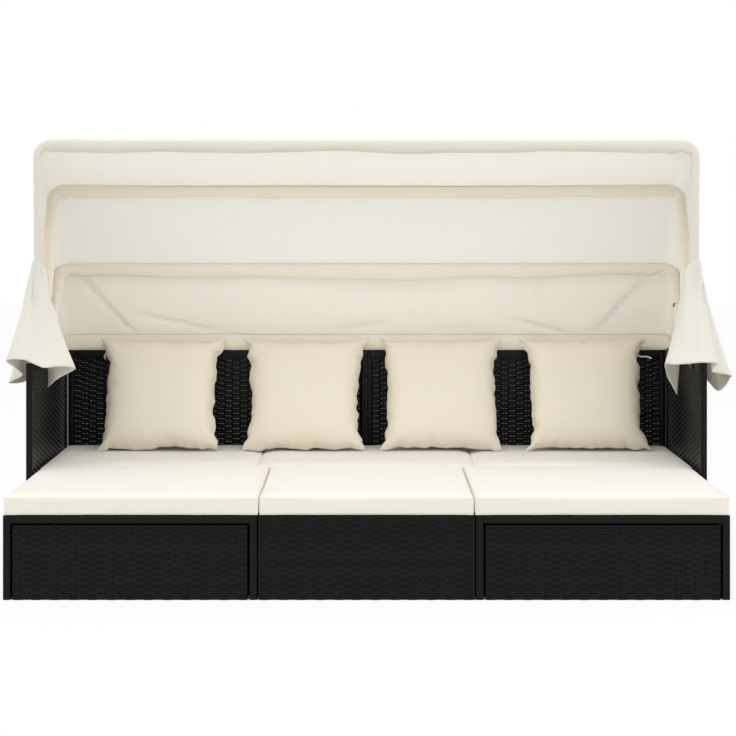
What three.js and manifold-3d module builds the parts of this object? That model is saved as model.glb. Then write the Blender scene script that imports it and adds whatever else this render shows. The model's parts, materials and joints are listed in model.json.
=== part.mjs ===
// Outdoor daybed with a folding canopy: a wicker lounge, and three footstools that close its front.
// Millimetres. +X is to the right as seen from the front, +Y to the back, +Z up.
// The origin is on the ground, in the middle of the outer box.
import * as THREE from 'three';
import Module from 'manifold-3d';
import { mergeVertices } from 'three/addons/utils/BufferGeometryUtils.js';

const wasm = await Module();
wasm.setup();

// Lounge: two arm panels, two back panels and a seat between them
const loungeWidth = 2000;
const loungeDepth = 600;
const armHeight = 595;
const backHeight = 590;
const panelThickness = 20;
const panelBand = 20;
const backTopBand = 28;
const weaveThickness = 8;
const backInset = 14;
const backLift = 30;
const backSideGap = 5.5;
const backSeamGap = 8;
const seatHeight = 223;
const seatSkin = 4;
const seatTube = 25;
const seatTubeWall = 1.5;
const glideHeight = 8;
const glideRadius = 9;
const glideChamfer = 1.5;
const glideInset = 12;

// Footstools: a plain one between two that each hold a smaller stool
const stoolDepth = 550;
const stoolHeight = 226;
const sideStoolWidth = 682;
const middleStoolWidth = 581;
const stoolSpacing = 2.5;
const slotDepth = 116;
const stoolSkin = 4;
const stoolTube = 16.4;
const stoolTubeWall = 1.2;
const skinLift = 6;
const nestSideGap = 6;
const nestTopGap = 5.5;

// Cushions and pillows
const seatCushionThickness = 52;
const stoolCushionThickness = 50;
const cushionCrown = 8;
const cushionDraw = 5;
const cushionEdge = 7;
const cushionGap = 2;
const middleCushionInset = 5;
const pillowSize = 385;
const pillowThickness = 125;
const pillowEdge = 8;
const pillowDraw = 24;
const pillowLean = THREE.MathUtils.degToRad(24);

// Canopy frame: three hoops that turn on one bolt at each arm, and a fixed rail over the back
const pivotSetback = 136;
const pivotLift = 22;
const hoopTubeRadius = 9.5;
const hoopTubeWall = 1.2;
const hoopCorner = 46;
const hoopHalfWidth = 990;
const frontHoopReach = 632;
const middleHoopReach = 541;
const rearHoopReach = 417;
const frontHoopTilt = THREE.MathUtils.degToRad(-2.2);
const middleHoopTilt = THREE.MathUtils.degToRad(24);
const rearHoopTilt = THREE.MathUtils.degToRad(54);
const hubRadius = 14;
const hubLength = 20;
const footStraight = 34;
const boltRadius = 4;
const boltHeadRadius = 8;
const boltHeadThickness = 5;
const boltTail = 3;
const nutRadius = 8;
const nutThickness = 7;
const bracketThickness = 3.7;
const bracketWidth = 46;
const bracketOverlap = 27;
const screwRadius = 2.5;
const screwHeadRadius = 4.5;
const screwHeadThickness = 2.5;
const screwLength = 14;
const screwSpacing = 26;
const railLift = 24;
const railHalfLength = 962;
const clipWall = 3.5;
const clipLength = 22;
const clipSpacing = 1240;
const clipDrop = 2;

// Canopy cloth
const clothThickness = 2.4;
const clothStart = 36;
const clothSag = 9;
const railClothCorner = 30;
const skirtReach = 80;
const skirtDrop = 95;
const skirtCollar = 16;

// One gap serves every pair of pieces that touch, and one overrun every cut
const clearance = 0.3;
const overrun = 2;
const weldStep = 0.3;

// Facets
const tubeSides = 10;
const cornerSteps = 5;
const roundSides = 16;
const nutSides = 6;
const mergeTolerance = 1e-4;
const grid = 1 / 64;

// Places along Y, from the front of the footstools to the back of the arms
const overallDepth = stoolDepth - slotDepth + clearance + loungeDepth;
const frontY = -overallDepth / 2;
const armRearY = overallDepth / 2;
const armFrontY = armRearY - loungeDepth;
const backRearY = armRearY - backInset;
const backFrontY = backRearY - panelThickness;
const seatFrontY = frontY + stoolDepth + clearance;
const seatRearY = backFrontY - clearance;
const armOuterX = loungeWidth / 2;
const armInnerX = armOuterX - panelThickness;
const armMiddleX = armOuterX - panelThickness / 2;
const seatHalfWidth = armInnerX - clearance;
const pivotY = armFrontY + pivotSetback;
const pivotHeight = armHeight + pivotLift;
const railY = backFrontY + panelThickness / 2;
const railHeight = backHeight + railLift;

// Looks of the sub-parts
const wicker = new THREE.MeshStandardMaterial({ color: 0x1e1e20, roughness: 0.55, metalness: 0 });
const steel = new THREE.MeshStandardMaterial({ color: 0x1b1b1c, roughness: 0.45, metalness: 0.6 });
const zinc = new THREE.MeshStandardMaterial({ color: 0xb4b6b8, roughness: 0.35, metalness: 0.9 });
const glidePlastic = new THREE.MeshStandardMaterial({ color: 0x141414, roughness: 0.6, metalness: 0 });
const cushionCloth = new THREE.MeshStandardMaterial({ color: 0xf1ebdf, roughness: 0.9, metalness: 0 });
const pillowCloth = new THREE.MeshStandardMaterial({ color: 0xede3ce, roughness: 0.9, metalness: 0 });
const canopyCloth = new THREE.MeshStandardMaterial({ color: 0xf0ece3, roughness: 0.85, metalness: 0 });

const daybed = new THREE.Group();

function add(name, geometry, material, x = 0, y = 0, z = 0) {
  const mesh = new THREE.Mesh(geometry, material.clone());
  mesh.name = name;
  mesh.position.set(x, y, z);
  daybed.add(mesh);
  return mesh;
}

// Closed meshes become solids once their shared corners are merged
function toSolid(geometry) {
  const plain = geometry.clone();
  plain.deleteAttribute('normal');
  plain.deleteAttribute('uv');
  const merged = mergeVertices(plain, mergeTolerance);
  const vertProperties = new Float32Array(merged.attributes.position.array);
  const triVerts = new Uint32Array(merged.index.array);
  return new wasm.Manifold(new wasm.Mesh({ numProp: 3, vertProperties, triVerts }));
}

function toGeometry(solid) {
  const mesh = solid.getMesh();
  const geometry = new THREE.BufferGeometry();
  geometry.setAttribute('position', new THREE.BufferAttribute(mesh.vertProperties, 3));
  geometry.setIndex(new THREE.BufferAttribute(mesh.triVerts, 1));
  geometry.computeVertexNormals();
  return geometry;
}

function joined(geometries) {
  return geometries.map(toSolid).reduce((whole, piece) => whole.add(piece));
}

function cut(geometry, cutters) {
  return toGeometry(toSolid(geometry).subtract(joined(cutters)));
}

// A box between two corners, taken to a fine grid so that boxes which share a plane meet in it
function block(low, high) {
  const [from, to] = [low, high].map((corner) => corner.map((value) => Math.round(value / grid) * grid));
  const geometry = new THREE.BoxGeometry(1, 1, 1);
  const position = geometry.attributes.position;
  for (let index = 0; index < position.count; index += 1) {
    position.setX(index, position.getX(index) > 0 ? to[0] : from[0]);
    position.setY(index, position.getY(index) > 0 ? to[1] : from[1]);
    position.setZ(index, position.getZ(index) > 0 ? to[2] : from[2]);
  }
  return geometry;
}

// A round bar along X
function barAlongX(radius, x0, x1, y, z, sides = roundSides) {
  const geometry = new THREE.CylinderGeometry(radius, radius, x1 - x0, sides);
  geometry.rotateZ(Math.PI / 2);
  geometry.translate((x0 + x1) / 2, y, z);
  return geometry;
}

// Welded square tube: the members run into each other, and the hollow runs out of the feet.
// Each kind of member stands back by one more weld step, which leaves room for the weld
function tubeFrame(members, wall) {
  const box = ({ low, high, steps, foot }, inset) => {
    const from = low.map((value) => value + steps * weldStep + inset);
    const to = high.map((value) => value - steps * weldStep - inset);
    from[2] = foot ? low[2] - (inset > 0 ? overrun : 0) : from[2];
    return block(from, to);
  };
  const shells = members.map((member) => box(member, 0));
  const cores = members.map((member) => box(member, wall));
  return toGeometry(joined(shells).subtract(joined(cores)));
}

// Members of a table-like frame: a ring under the top, legs at the corners and bars at chosen places
function tableFrame({ x, y0, y1, top, tube, wall, legXs, sideRails }) {
  const members = [
    { low: [-x, y0, top - tube], high: [x, y0 + tube, top], steps: 0 },
    { low: [-x, y1 - tube, top - tube], high: [x, y1, top], steps: 0 },
  ];
  for (const legX of legXs) {
    const left = Math.min(Math.max(legX - tube / 2, -x), x - tube);
    members.push({ low: [left, y0, top - tube], high: [left + tube, y1, top], steps: 1 });
    members.push({ low: [left, y0, 0], high: [left + tube, y0 + tube, top], steps: 2, foot: true });
    members.push({ low: [left, y1 - tube, 0], high: [left + tube, y1, top], steps: 2, foot: true });
  }
  if (sideRails > 0) {
    for (const left of [-x, x - tube]) {
      members.push({ low: [left, y0, sideRails], high: [left + tube, y1, sideRails + tube], steps: 3 });
    }
  }
  return tubeFrame(members, wall);
}

// A path that takes its rings at given points, so long straight runs need no steps
class RingPath extends THREE.Curve {
  constructor(points) {
    super();
    this.points = points;
  }

  getPoint(t, target = new THREE.Vector3()) {
    const place = THREE.MathUtils.clamp(t, 0, 1) * (this.points.length - 1);
    const index = Math.min(Math.floor(place), this.points.length - 2);
    return target.lerpVectors(this.points[index], this.points[index + 1], place - index);
  }

  getUtoTmapping(u) {
    return u;
  }
}

function rodAlong(points, radius) {
  const corners = [];
  for (let side = 0; side < tubeSides; side += 1) {
    const angle = (side / tubeSides) * 2 * Math.PI;
    corners.push(new THREE.Vector2(radius * Math.cos(angle), radius * Math.sin(angle)));
  }
  const extrudePath = new RingPath(points);
  return new THREE.ExtrudeGeometry(new THREE.Shape(corners), { steps: points.length - 1, extrudePath });
}

// A panel of wrapped frame with a woven field in it, standing in a plane
function panelFrame(width, height, side, top, bottom) {
  const outline = new THREE.Shape([
    new THREE.Vector2(0, 0),
    new THREE.Vector2(width, 0),
    new THREE.Vector2(width, height),
    new THREE.Vector2(0, height),
  ]);
  outline.holes.push(new THREE.Path([
    new THREE.Vector2(side, bottom),
    new THREE.Vector2(side, height - top),
    new THREE.Vector2(width - side, height - top),
    new THREE.Vector2(width - side, bottom),
  ]));
  return new THREE.ExtrudeGeometry(outline, { depth: panelThickness, bevelEnabled: false });
}

// Arm panels, each on two glides, with two blind screw holes for the canopy bracket
const armPanelHeight = armHeight - glideHeight;
const screwHeight = armHeight - bracketOverlap / 2;
const screwPlaces = [pivotY - screwSpacing / 2, pivotY + screwSpacing / 2];
const screwTipX = armInnerX + screwLength;

function armPanel(sideName, sign) {
  const frame = panelFrame(loungeDepth, armPanelHeight, panelBand, backTopBand, panelBand);
  frame.rotateX(Math.PI / 2);
  frame.rotateZ(Math.PI / 2);
  frame.translate(armInnerX, armFrontY, glideHeight);
  const holes = screwPlaces.map((y) =>
    barAlongX(screwRadius + clearance, armInnerX - overrun, screwTipX + clearance, y, screwHeight));
  const bored = cut(frame, holes);
  const field = block(
    [armMiddleX - weaveThickness / 2, armFrontY + panelBand + clearance, glideHeight + panelBand + clearance],
    [armMiddleX + weaveThickness / 2, armRearY - panelBand - clearance, armHeight - backTopBand - clearance],
  );
  add(`${sideName}_arm_frame`, mirrored(bored, sign), wicker);
  add(`${sideName}_arm_weave`, mirrored(field, sign), wicker);
  for (const [end, y] of [['front', armFrontY + glideInset], ['rear', armRearY - glideInset]]) {
    add(`${sideName}_${end}_glide`, glide(), glidePlastic, sign * armMiddleX, y, 0);
  }
}

// The left-hand copy of a right-hand shape, with its faces still pointing out
function mirrored(geometry, sign) {
  if (sign > 0) return geometry;
  const copy = geometry.index ? geometry.toNonIndexed() : geometry.clone();
  const position = copy.attributes.position;
  for (let corner = 0; corner < position.count; corner += 3) {
    const [a, b, c] = [corner, corner + 1, corner + 2].map((index) =>
      new THREE.Vector3().fromBufferAttribute(position, index));
    position.setXYZ(corner, -a.x, a.y, a.z);
    position.setXYZ(corner + 1, -c.x, c.y, c.z);
    position.setXYZ(corner + 2, -b.x, b.y, b.z);
  }
  copy.deleteAttribute('uv');
  copy.computeVertexNormals();
  return copy;
}

function glide() {
  const top = glideHeight - clearance;
  const profile = [
    new THREE.Vector2(0, 0),
    new THREE.Vector2(glideRadius - glideChamfer, 0),
    new THREE.Vector2(glideRadius, glideChamfer),
    new THREE.Vector2(glideRadius, top),
    new THREE.Vector2(0, top),
  ];
  const geometry = new THREE.LatheGeometry(profile, roundSides);
  geometry.rotateX(Math.PI / 2);
  return geometry;
}

// Back panels, side by side, bolted to the rear of the seat
function backPanel(sideName, sign) {
  const innerX = backSeamGap / 2;
  const width = armInnerX - backSideGap - innerX;
  const height = backHeight - backLift;
  const frame = panelFrame(width, height, panelBand, backTopBand, panelBand);
  frame.rotateX(Math.PI / 2);
  frame.translate(innerX, backRearY, backLift);
  const middleY = backFrontY + panelThickness / 2;
  const edge = panelBand + clearance;
  const field = block(
    [innerX + edge, middleY - weaveThickness / 2, backLift + edge],
    [innerX + width - edge, middleY + weaveThickness / 2, backHeight - backTopBand - clearance],
  );
  add(`${sideName}_back_frame`, mirrored(frame, sign), wicker);
  add(`${sideName}_back_weave`, mirrored(field, sign), wicker);
}

// Seat: a welded frame on six feet under a woven deck that turns down over its front
function seat() {
  const inner = seatSkin + clearance;
  add('seat_frame', tableFrame({
    x: seatHalfWidth,
    y0: seatFrontY + inner,
    y1: seatRearY,
    top: seatHeight - inner,
    tube: seatTube,
    wall: seatTubeWall,
    legXs: [-seatHalfWidth, 0, seatHalfWidth],
    sideRails: 0,
  }), steel);
  const profile = new THREE.Shape([
    new THREE.Vector2(seatFrontY, glideHeight),
    new THREE.Vector2(seatFrontY + seatSkin, glideHeight),
    new THREE.Vector2(seatFrontY + seatSkin, seatHeight - seatSkin),
    new THREE.Vector2(seatRearY, seatHeight - seatSkin),
    new THREE.Vector2(seatRearY, seatHeight),
    new THREE.Vector2(seatFrontY, seatHeight),
  ]);
  const skin = new THREE.ExtrudeGeometry(profile, { depth: 2 * seatHalfWidth, bevelEnabled: false });
  skin.rotateX(Math.PI / 2);
  skin.rotateZ(Math.PI / 2);
  skin.translate(-seatHalfWidth, 0, 0);
  add('seat_skin', skin, wicker);
}

// Footstools. The plain kind is a woven box over a frame
function boxSkin(width, depth, height) {
  const x = width / 2;
  const shell = block([-x, 0, skinLift], [x, depth, height]);
  const hollow = block(
    [-x + stoolSkin, stoolSkin, -overrun],
    [x - stoolSkin, depth - stoolSkin, height - stoolSkin],
  );
  return { shell, hollow };
}

function plainStool(name, width, depth, height, x, y) {
  const { shell, hollow } = boxSkin(width, depth, height);
  const inner = stoolSkin + clearance;
  add(`${name}_skin`, cut(shell, [hollow]), wicker, x, y, 0);
  add(`${name}_frame`, tableFrame({
    x: width / 2 - inner,
    y0: inner,
    y1: depth - inner,
    top: height - inner,
    tube: stoolTube,
    wall: stoolTubeWall,
    legXs: [-width, 0, width],
    sideRails: skinLift,
  }), steel, x, y, 0);
}

// The other kind is open at the front and below, with a band as wide as its walls round the mouth
const nestWall = stoolSkin + clearance + stoolTube;

function outerStool(name, width, x) {
  const { shell, hollow } = boxSkin(width, stoolDepth, stoolHeight);
  const mouthX = width / 2 - nestWall;
  const mouth = block(
    [-mouthX, -overrun, -overrun],
    [mouthX, stoolSkin + overrun, stoolHeight - nestWall],
  );
  const inner = stoolSkin + clearance;
  add(`${name}_outer_skin`, cut(shell, [hollow, mouth]), wicker, x, frontY, 0);
  add(`${name}_outer_frame`, tableFrame({
    x: width / 2 - inner,
    y0: inner,
    y1: stoolDepth - inner,
    top: stoolHeight - inner,
    tube: stoolTube,
    wall: stoolTubeWall,
    legXs: [-width, width],
    sideRails: skinLift,
  }), steel, x, frontY, 0);
}

const nestedWidth = sideStoolWidth - 2 * nestWall - 2 * nestSideGap;
const nestedDepth = stoolDepth - nestWall - clearance;
const nestedHeight = stoolHeight - nestWall - nestTopGap;
const sideStoolX = middleStoolWidth / 2 + stoolSpacing + sideStoolWidth / 2;

// A box cushion: flat below, crowned above, with sides that draw in between its corners
const cushionSteps = [10, 6, 2];

function crownAt(across, along) {
  return cushionCrown * (1 - across ** 4) * (1 - along ** 4);
}

function boxCushion(width, depth, thickness) {
  const geometry = new THREE.BoxGeometry(width, depth, thickness, ...cushionSteps);
  const position = geometry.attributes.position;
  for (let index = 0; index < position.count; index += 1) {
    const across = position.getX(index) / (width / 2);
    const along = position.getY(index) / (depth / 2);
    const up = position.getZ(index) / (thickness / 2);
    const rounding = cushionEdge * up ** 2;
    const drawX = (cushionDraw * (1 - along ** 2) + rounding) * across;
    const drawY = (cushionDraw * (1 - across ** 2) + rounding) * along;
    const x = position.getX(index) - drawX;
    const y = position.getY(index) - drawY;
    const z = position.getZ(index) + thickness / 2 + Math.max(up, 0) * crownAt(across, along);
    position.setXYZ(index, x, y, z);
  }
  geometry.computeVertexNormals();
  return geometry;
}

// A throw pillow: thick in the middle, thin at its seam, with its sides drawn in between the corners
const pillowSteps = 10;

function throwPillow() {
  const half = pillowSize / 2;
  const geometry = new THREE.BoxGeometry(pillowSize, pillowThickness, pillowSize, pillowSteps, 1, pillowSteps);
  const position = geometry.attributes.position;
  for (let index = 0; index < position.count; index += 1) {
    const across = position.getX(index) / half;
    const up = position.getZ(index) / half;
    const face = Math.sign(position.getY(index));
    const fill = Math.sqrt((1 - across ** 2) * (1 - up ** 2));
    const x = position.getX(index) - pillowDraw * across * (1 - up ** 2);
    const z = position.getZ(index) - pillowDraw * up * (1 - across ** 2);
    const y = face * (pillowEdge / 2 + ((pillowThickness - pillowEdge) / 2) * fill);
    position.setXYZ(index, x, y, z);
  }
  geometry.computeVertexNormals();
  geometry.rotateX(-pillowLean);
  return geometry;
}

const seatCushionWidth = (2 * seatHalfWidth - 2 * cushionGap) / 3;
const seatCushionDepth = seatRearY - seatFrontY;
const seatCushionBase = seatHeight + clearance;
const seatCushionTop = seatCushionBase + seatCushionThickness;
const seatCushionY = (seatFrontY + seatRearY) / 2;

function seatCushions() {
  const spacing = seatCushionWidth + cushionGap;
  for (const [name, place] of [['left', -1], ['middle', 0], ['right', 1]]) {
    add(
      `${name}_seat_cushion`,
      boxCushion(seatCushionWidth, seatCushionDepth, seatCushionThickness),
      cushionCloth,
      place * spacing,
      seatCushionY,
      seatCushionBase,
    );
  }
}

// Height of the seat cushions' crowned tops at a place
function seatTopAt(x, y) {
  const spacing = seatCushionWidth + cushionGap;
  const nearest = Math.max(-1, Math.min(1, Math.round(x / spacing))) * spacing;
  const across = THREE.MathUtils.clamp((x - nearest) / (seatCushionWidth / 2), -1, 1);
  const along = THREE.MathUtils.clamp((y - seatCushionY) / (seatCushionDepth / 2), -1, 1);
  return seatCushionTop + crownAt(across, along);
}

// Pillows lean on the rail's saddles, at these shares of the seat's half width
const saddleFrontY = railY - hoopTubeRadius - clearance - clipWall;
const pillowShares = { far_left: -0.675, near_left: -0.2, near_right: 0.245, far_right: 0.715 };

function pillows() {
  for (const [name, share] of Object.entries(pillowShares)) {
    const geometry = throwPillow();
    const x = share * seatHalfWidth;
    geometry.computeBoundingBox();
    const y = saddleFrontY - clearance - geometry.boundingBox.max.y;
    const position = geometry.attributes.position;
    let lift = -Infinity;
    for (let index = 0; index < position.count; index += 1) {
      const top = seatTopAt(x + position.getX(index), y + position.getY(index));
      lift = Math.max(lift, top + clearance - position.getZ(index));
    }
    add(`${name}_pillow`, geometry, pillowCloth, x, y, lift);
  }
}

// Canopy hoops. A hub at each foot turns on the pivot bolt, and the hubs lie side by side
const hubStep = hubLength + clearance;
const frontHubOuterX = armInnerX + hubLength;
const bracketOuterX = armInnerX - clearance;
const bracketInnerX = bracketOuterX - bracketThickness;
const hubOuterX = {
  front: frontHubOuterX,
  middle: bracketInnerX - clearance,
  rear: bracketInnerX - clearance - hubStep,
};
const nutOuterX = hubOuterX.rear - hubStep;

function quarterTurn(centre, radius, from, to) {
  const places = [];
  for (let step = 0; step <= cornerSteps; step += 1) {
    const angle = THREE.MathUtils.lerp(from, to, step / cornerSteps);
    places.push([centre[0] + radius * Math.cos(angle), centre[1] + radius * Math.sin(angle)]);
  }
  return places;
}

// The right half of a hoop's centre line, from its foot to its top, as places across and up the hoop
function halfHoop(footX, footReach, halfWidth, reach, corner) {
  const turn = quarterTurn([halfWidth - corner, reach - corner], corner, 0, Math.PI / 2);
  return [[footX, footReach], ...turn];
}

function hoop(name, reach, tilt, outerX) {
  const footX = outerX - hubLength / 2;
  const right = [[footX, 0], ...halfHoop(footX, footStraight, hoopHalfWidth, reach, hoopCorner)];
  const left = right.map(([across, up]) => [-across, up]).reverse();
  const points = [...right, ...left].map(([across, up]) => new THREE.Vector3(across, 0, up));
  const shell = toSolid(rodAlong(points, hoopTubeRadius));
  const core = toSolid(rodAlong(points, hoopTubeRadius - hoopTubeWall));
  const hubs = [];
  const bores = [];
  for (const sign of [1, -1]) {
    const ends = [sign * outerX, sign * (outerX - hubLength)].sort((a, b) => a - b);
    hubs.push(barAlongX(hubRadius, ends[0], ends[1], 0, 0));
    bores.push(barAlongX(boltRadius + clearance, ends[0] - overrun, ends[1] + overrun, 0, 0));
  }
  const whole = shell.add(joined(hubs)).subtract(core).subtract(joined(bores));
  const mesh = add(name, toGeometry(whole), steel, 0, pivotY, pivotHeight);
  mesh.rotation.x = -tilt;
}

// Brackets, pivot bolts, nuts and screws
function bracket(sideName, sign) {
  const plate = block(
    [bracketInnerX, pivotY - bracketWidth / 2, armHeight - bracketOverlap],
    [bracketOuterX, pivotY + bracketWidth / 2, pivotHeight + hubRadius],
  );
  const through = [bracketInnerX - overrun, bracketOuterX + overrun];
  const bore = barAlongX(boltRadius + clearance, through[0], through[1], pivotY, pivotHeight);
  const holes = screwPlaces.map((y) =>
    barAlongX(screwRadius + clearance, through[0], through[1], y, screwHeight));
  add(`${sideName}_pivot_bracket`, mirrored(cut(plate, [bore, ...holes]), sign), steel);
  screwPlaces.forEach((y, index) => {
    const headX = bracketInnerX - clearance;
    const head = barAlongX(screwHeadRadius, headX - screwHeadThickness, headX, y, screwHeight);
    const shank = barAlongX(screwRadius, headX - screwHeadThickness / 2, screwTipX, y, screwHeight);
    const screw = toGeometry(joined([head, shank]));
    add(`${sideName}_bracket_screw_${index + 1}`, mirrored(screw, sign), zinc);
  });
}

function pivotBolt(sideName, sign) {
  const headX = hubOuterX.front + clearance;
  const tipX = nutOuterX - nutThickness - boltTail;
  const head = barAlongX(boltHeadRadius, headX, headX + boltHeadThickness, pivotY, pivotHeight);
  const shank = barAlongX(boltRadius, tipX, headX + boltHeadThickness / 2, pivotY, pivotHeight);
  add(`${sideName}_pivot_bolt`, mirrored(toGeometry(joined([head, shank])), sign), zinc);
  const body = barAlongX(nutRadius, nutOuterX - nutThickness, nutOuterX, pivotY, pivotHeight, nutSides);
  const thread = barAlongX(
    boltRadius + clearance,
    nutOuterX - nutThickness - overrun,
    nutOuterX + overrun,
    pivotY,
    pivotHeight,
  );
  add(`${sideName}_pivot_nut`, mirrored(cut(body, [thread]), sign), zinc);
}

// Rail over the back, which holds the rear hem, in two saddles on the back panels
function rail() {
  const shell = barAlongX(hoopTubeRadius, -railHalfLength, railHalfLength, railY, railHeight);
  const core = barAlongX(
    hoopTubeRadius - hoopTubeWall,
    -railHalfLength - overrun,
    railHalfLength + overrun,
    railY,
    railHeight,
  );
  add('rear_rail', cut(shell, [core]), steel);
  for (const [sideName, sign] of [['left', -1], ['right', 1]]) {
    const x = sign * clipSpacing / 2;
    const ends = [x - clipLength / 2, x + clipLength / 2];
    const ring = barAlongX(hoopTubeRadius + clearance + clipWall, ends[0], ends[1], railY, railHeight);
    const foot = block(
      [ends[0], railY - panelThickness / 2, backHeight + clearance],
      [ends[1], railY + panelThickness / 2, backHeight + clearance + clipWall],
    );
    const post = block(
      [ends[0], railY - clipWall, backHeight + clearance],
      [ends[1], railY + clipWall, railHeight - hoopTubeRadius],
    );
    const bore = barAlongX(
      hoopTubeRadius + clearance,
      ends[0] - overrun,
      ends[1] + overrun,
      railY,
      railHeight,
    );
    const above = block(
      [ends[0] - overrun, railY - panelThickness, railHeight - clipDrop],
      [ends[1] + overrun, railY + panelThickness, railHeight + panelThickness],
    );
    const clip = joined([ring, foot, post]).subtract(joined([bore, above]));
    add(`${sideName}_rail_clip`, toGeometry(clip), glidePlastic);
  }
}

// A sheet with thickness from a grid of points on its middle surface
function thickSheet(places, thickness) {
  const rows = places.length;
  const columns = places[0].length;
  const faces = [[], []];
  for (let row = 0; row < rows; row += 1) {
    for (let column = 0; column < columns; column += 1) {
      const along = new THREE.Vector3().subVectors(
        places[Math.min(row + 1, rows - 1)][column],
        places[Math.max(row - 1, 0)][column],
      );
      const across = new THREE.Vector3().subVectors(
        places[row][Math.min(column + 1, columns - 1)],
        places[row][Math.max(column - 1, 0)],
      );
      const normal = along.cross(across).normalize();
      faces[0].push(places[row][column].clone().addScaledVector(normal, thickness / 2));
      faces[1].push(places[row][column].clone().addScaledVector(normal, -thickness / 2));
    }
  }
  const points = [...faces[0], ...faces[1]];
  const under = faces[0].length;
  const index = [];
  const quad = (a, b, c, d) => index.push(a, b, c, a, c, d);
  const at = (row, column) => row * columns + column;
  for (let row = 0; row < rows - 1; row += 1) {
    for (let column = 0; column < columns - 1; column += 1) {
      const [a, b] = [at(row, column), at(row + 1, column)];
      const [c, d] = [at(row + 1, column + 1), at(row, column + 1)];
      quad(a, b, c, d);
      quad(under + d, under + c, under + b, under + a);
    }
  }
  for (let row = 0; row < rows - 1; row += 1) {
    const [a, b] = [at(row, 0), at(row + 1, 0)];
    const [c, d] = [at(row, columns - 1), at(row + 1, columns - 1)];
    quad(a, under + a, under + b, b);
    quad(d, under + d, under + c, c);
  }
  for (let column = 0; column < columns - 1; column += 1) {
    const [a, b] = [at(0, column), at(0, column + 1)];
    const [c, d] = [at(rows - 1, column), at(rows - 1, column + 1)];
    quad(b, under + b, under + a, a);
    quad(c, under + c, under + d, d);
  }
  const geometry = new THREE.BufferGeometry().setFromPoints(points);
  geometry.setIndex(index);
  geometry.computeVertexNormals();
  return geometry;
}

// Canopy panels, seen from the side: each runs straight over the outside of two neighbouring tubes
const clothOffset = hoopTubeRadius + clearance + clothThickness / 2;
const clothHalfWidth = hoopHalfWidth + clothOffset;
const clothCorner = hoopCorner + clothOffset;
const spanSteps = 4;
const edgeSteps = 4;
const rearEdgeSteps = 1;
const topSteps = 6;
const sideSteps = 2;

function ribPlace(reach, tilt) {
  return new THREE.Vector2(reach * Math.sin(tilt), reach * Math.cos(tilt));
}

const ribs = [
  ribPlace(frontHoopReach, frontHoopTilt),
  ribPlace(middleHoopReach, middleHoopTilt),
  ribPlace(rearHoopReach, rearHoopTilt),
  new THREE.Vector2(railY - pivotY, railHeight - pivotHeight),
];

function outwardNormal(from, to) {
  const run = new THREE.Vector2().subVectors(to, from).normalize();
  return new THREE.Vector2(-run.y, run.x);
}

const spanNormals = [0, 1, 2].map((span) => outwardNormal(ribs[span], ribs[span + 1]));
const frontEdgeNormal = new THREE.Vector2(-1, 0);
const rearEdgeNormal = new THREE.Vector2(1, 0);

// Where the cloth turns over a tube from one panel to the next. Their inner faces end just apart
function seamPlace(rib, before, after, towards) {
  const middle = new THREE.Vector2().addVectors(before, after).normalize();
  const halfTurn = middle.angleTo(before);
  const place = rib.clone().addScaledVector(middle, clothOffset / Math.cos(halfTurn));
  const step = new THREE.Vector2(middle.y, -middle.x);
  const gap = clearance + (clothThickness / 2) * Math.tan(halfTurn);
  return place.addScaledVector(step, towards * gap);
}

// Places round a tube between two directions, far enough out for the flats between them to clear it
function wrapPlaces(rib, before, after, steps) {
  const [start, end] = [before.angle(), after.angle()];
  const turn = THREE.MathUtils.euclideanModulo(end - start + Math.PI, 2 * Math.PI) - Math.PI;
  const radius = clothOffset / Math.cos(turn / steps / 2);
  const places = [];
  for (let step = 0; step <= steps; step += 1) {
    const angle = start + (turn * step) / steps;
    places.push(new THREE.Vector2(Math.cos(angle), Math.sin(angle)).multiplyScalar(radius).add(rib));
  }
  return places;
}

function spanStations(span) {
  const [from, to] = [ribs[span], ribs[span + 1]];
  const normal = spanNormals[span];
  const front = span === 0;
  const rear = span === spanNormals.length - 1;
  const start = front
    ? from.clone().addScaledVector(normal, clothOffset)
    : seamPlace(from, spanNormals[span - 1], normal, 1);
  const end = rear
    ? to.clone().addScaledVector(normal, clothOffset)
    : seamPlace(to, normal, spanNormals[span + 1], -1);
  const before = front ? wrapPlaces(from, frontEdgeNormal, normal, edgeSteps).slice(0, -1) : [];
  const after = rear ? wrapPlaces(to, normal, rearEdgeNormal, rearEdgeSteps).slice(1) : [];
  const endCorner = rear ? railClothCorner : clothCorner;
  const run = [];
  for (let step = 0; step <= spanSteps; step += 1) {
    const share = step / spanSteps;
    const place = new THREE.Vector2().lerpVectors(start, end, share);
    const corner = THREE.MathUtils.lerp(clothCorner, endCorner, share);
    run.push({ place, corner, sag: clothSag * Math.sin(Math.PI * share) });
  }
  return [
    ...before.map((place) => ({ place, corner: clothCorner, sag: 0 })),
    ...run,
    ...after.map((place) => ({ place, corner: endCorner, sag: 0 })),
  ];
}

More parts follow.
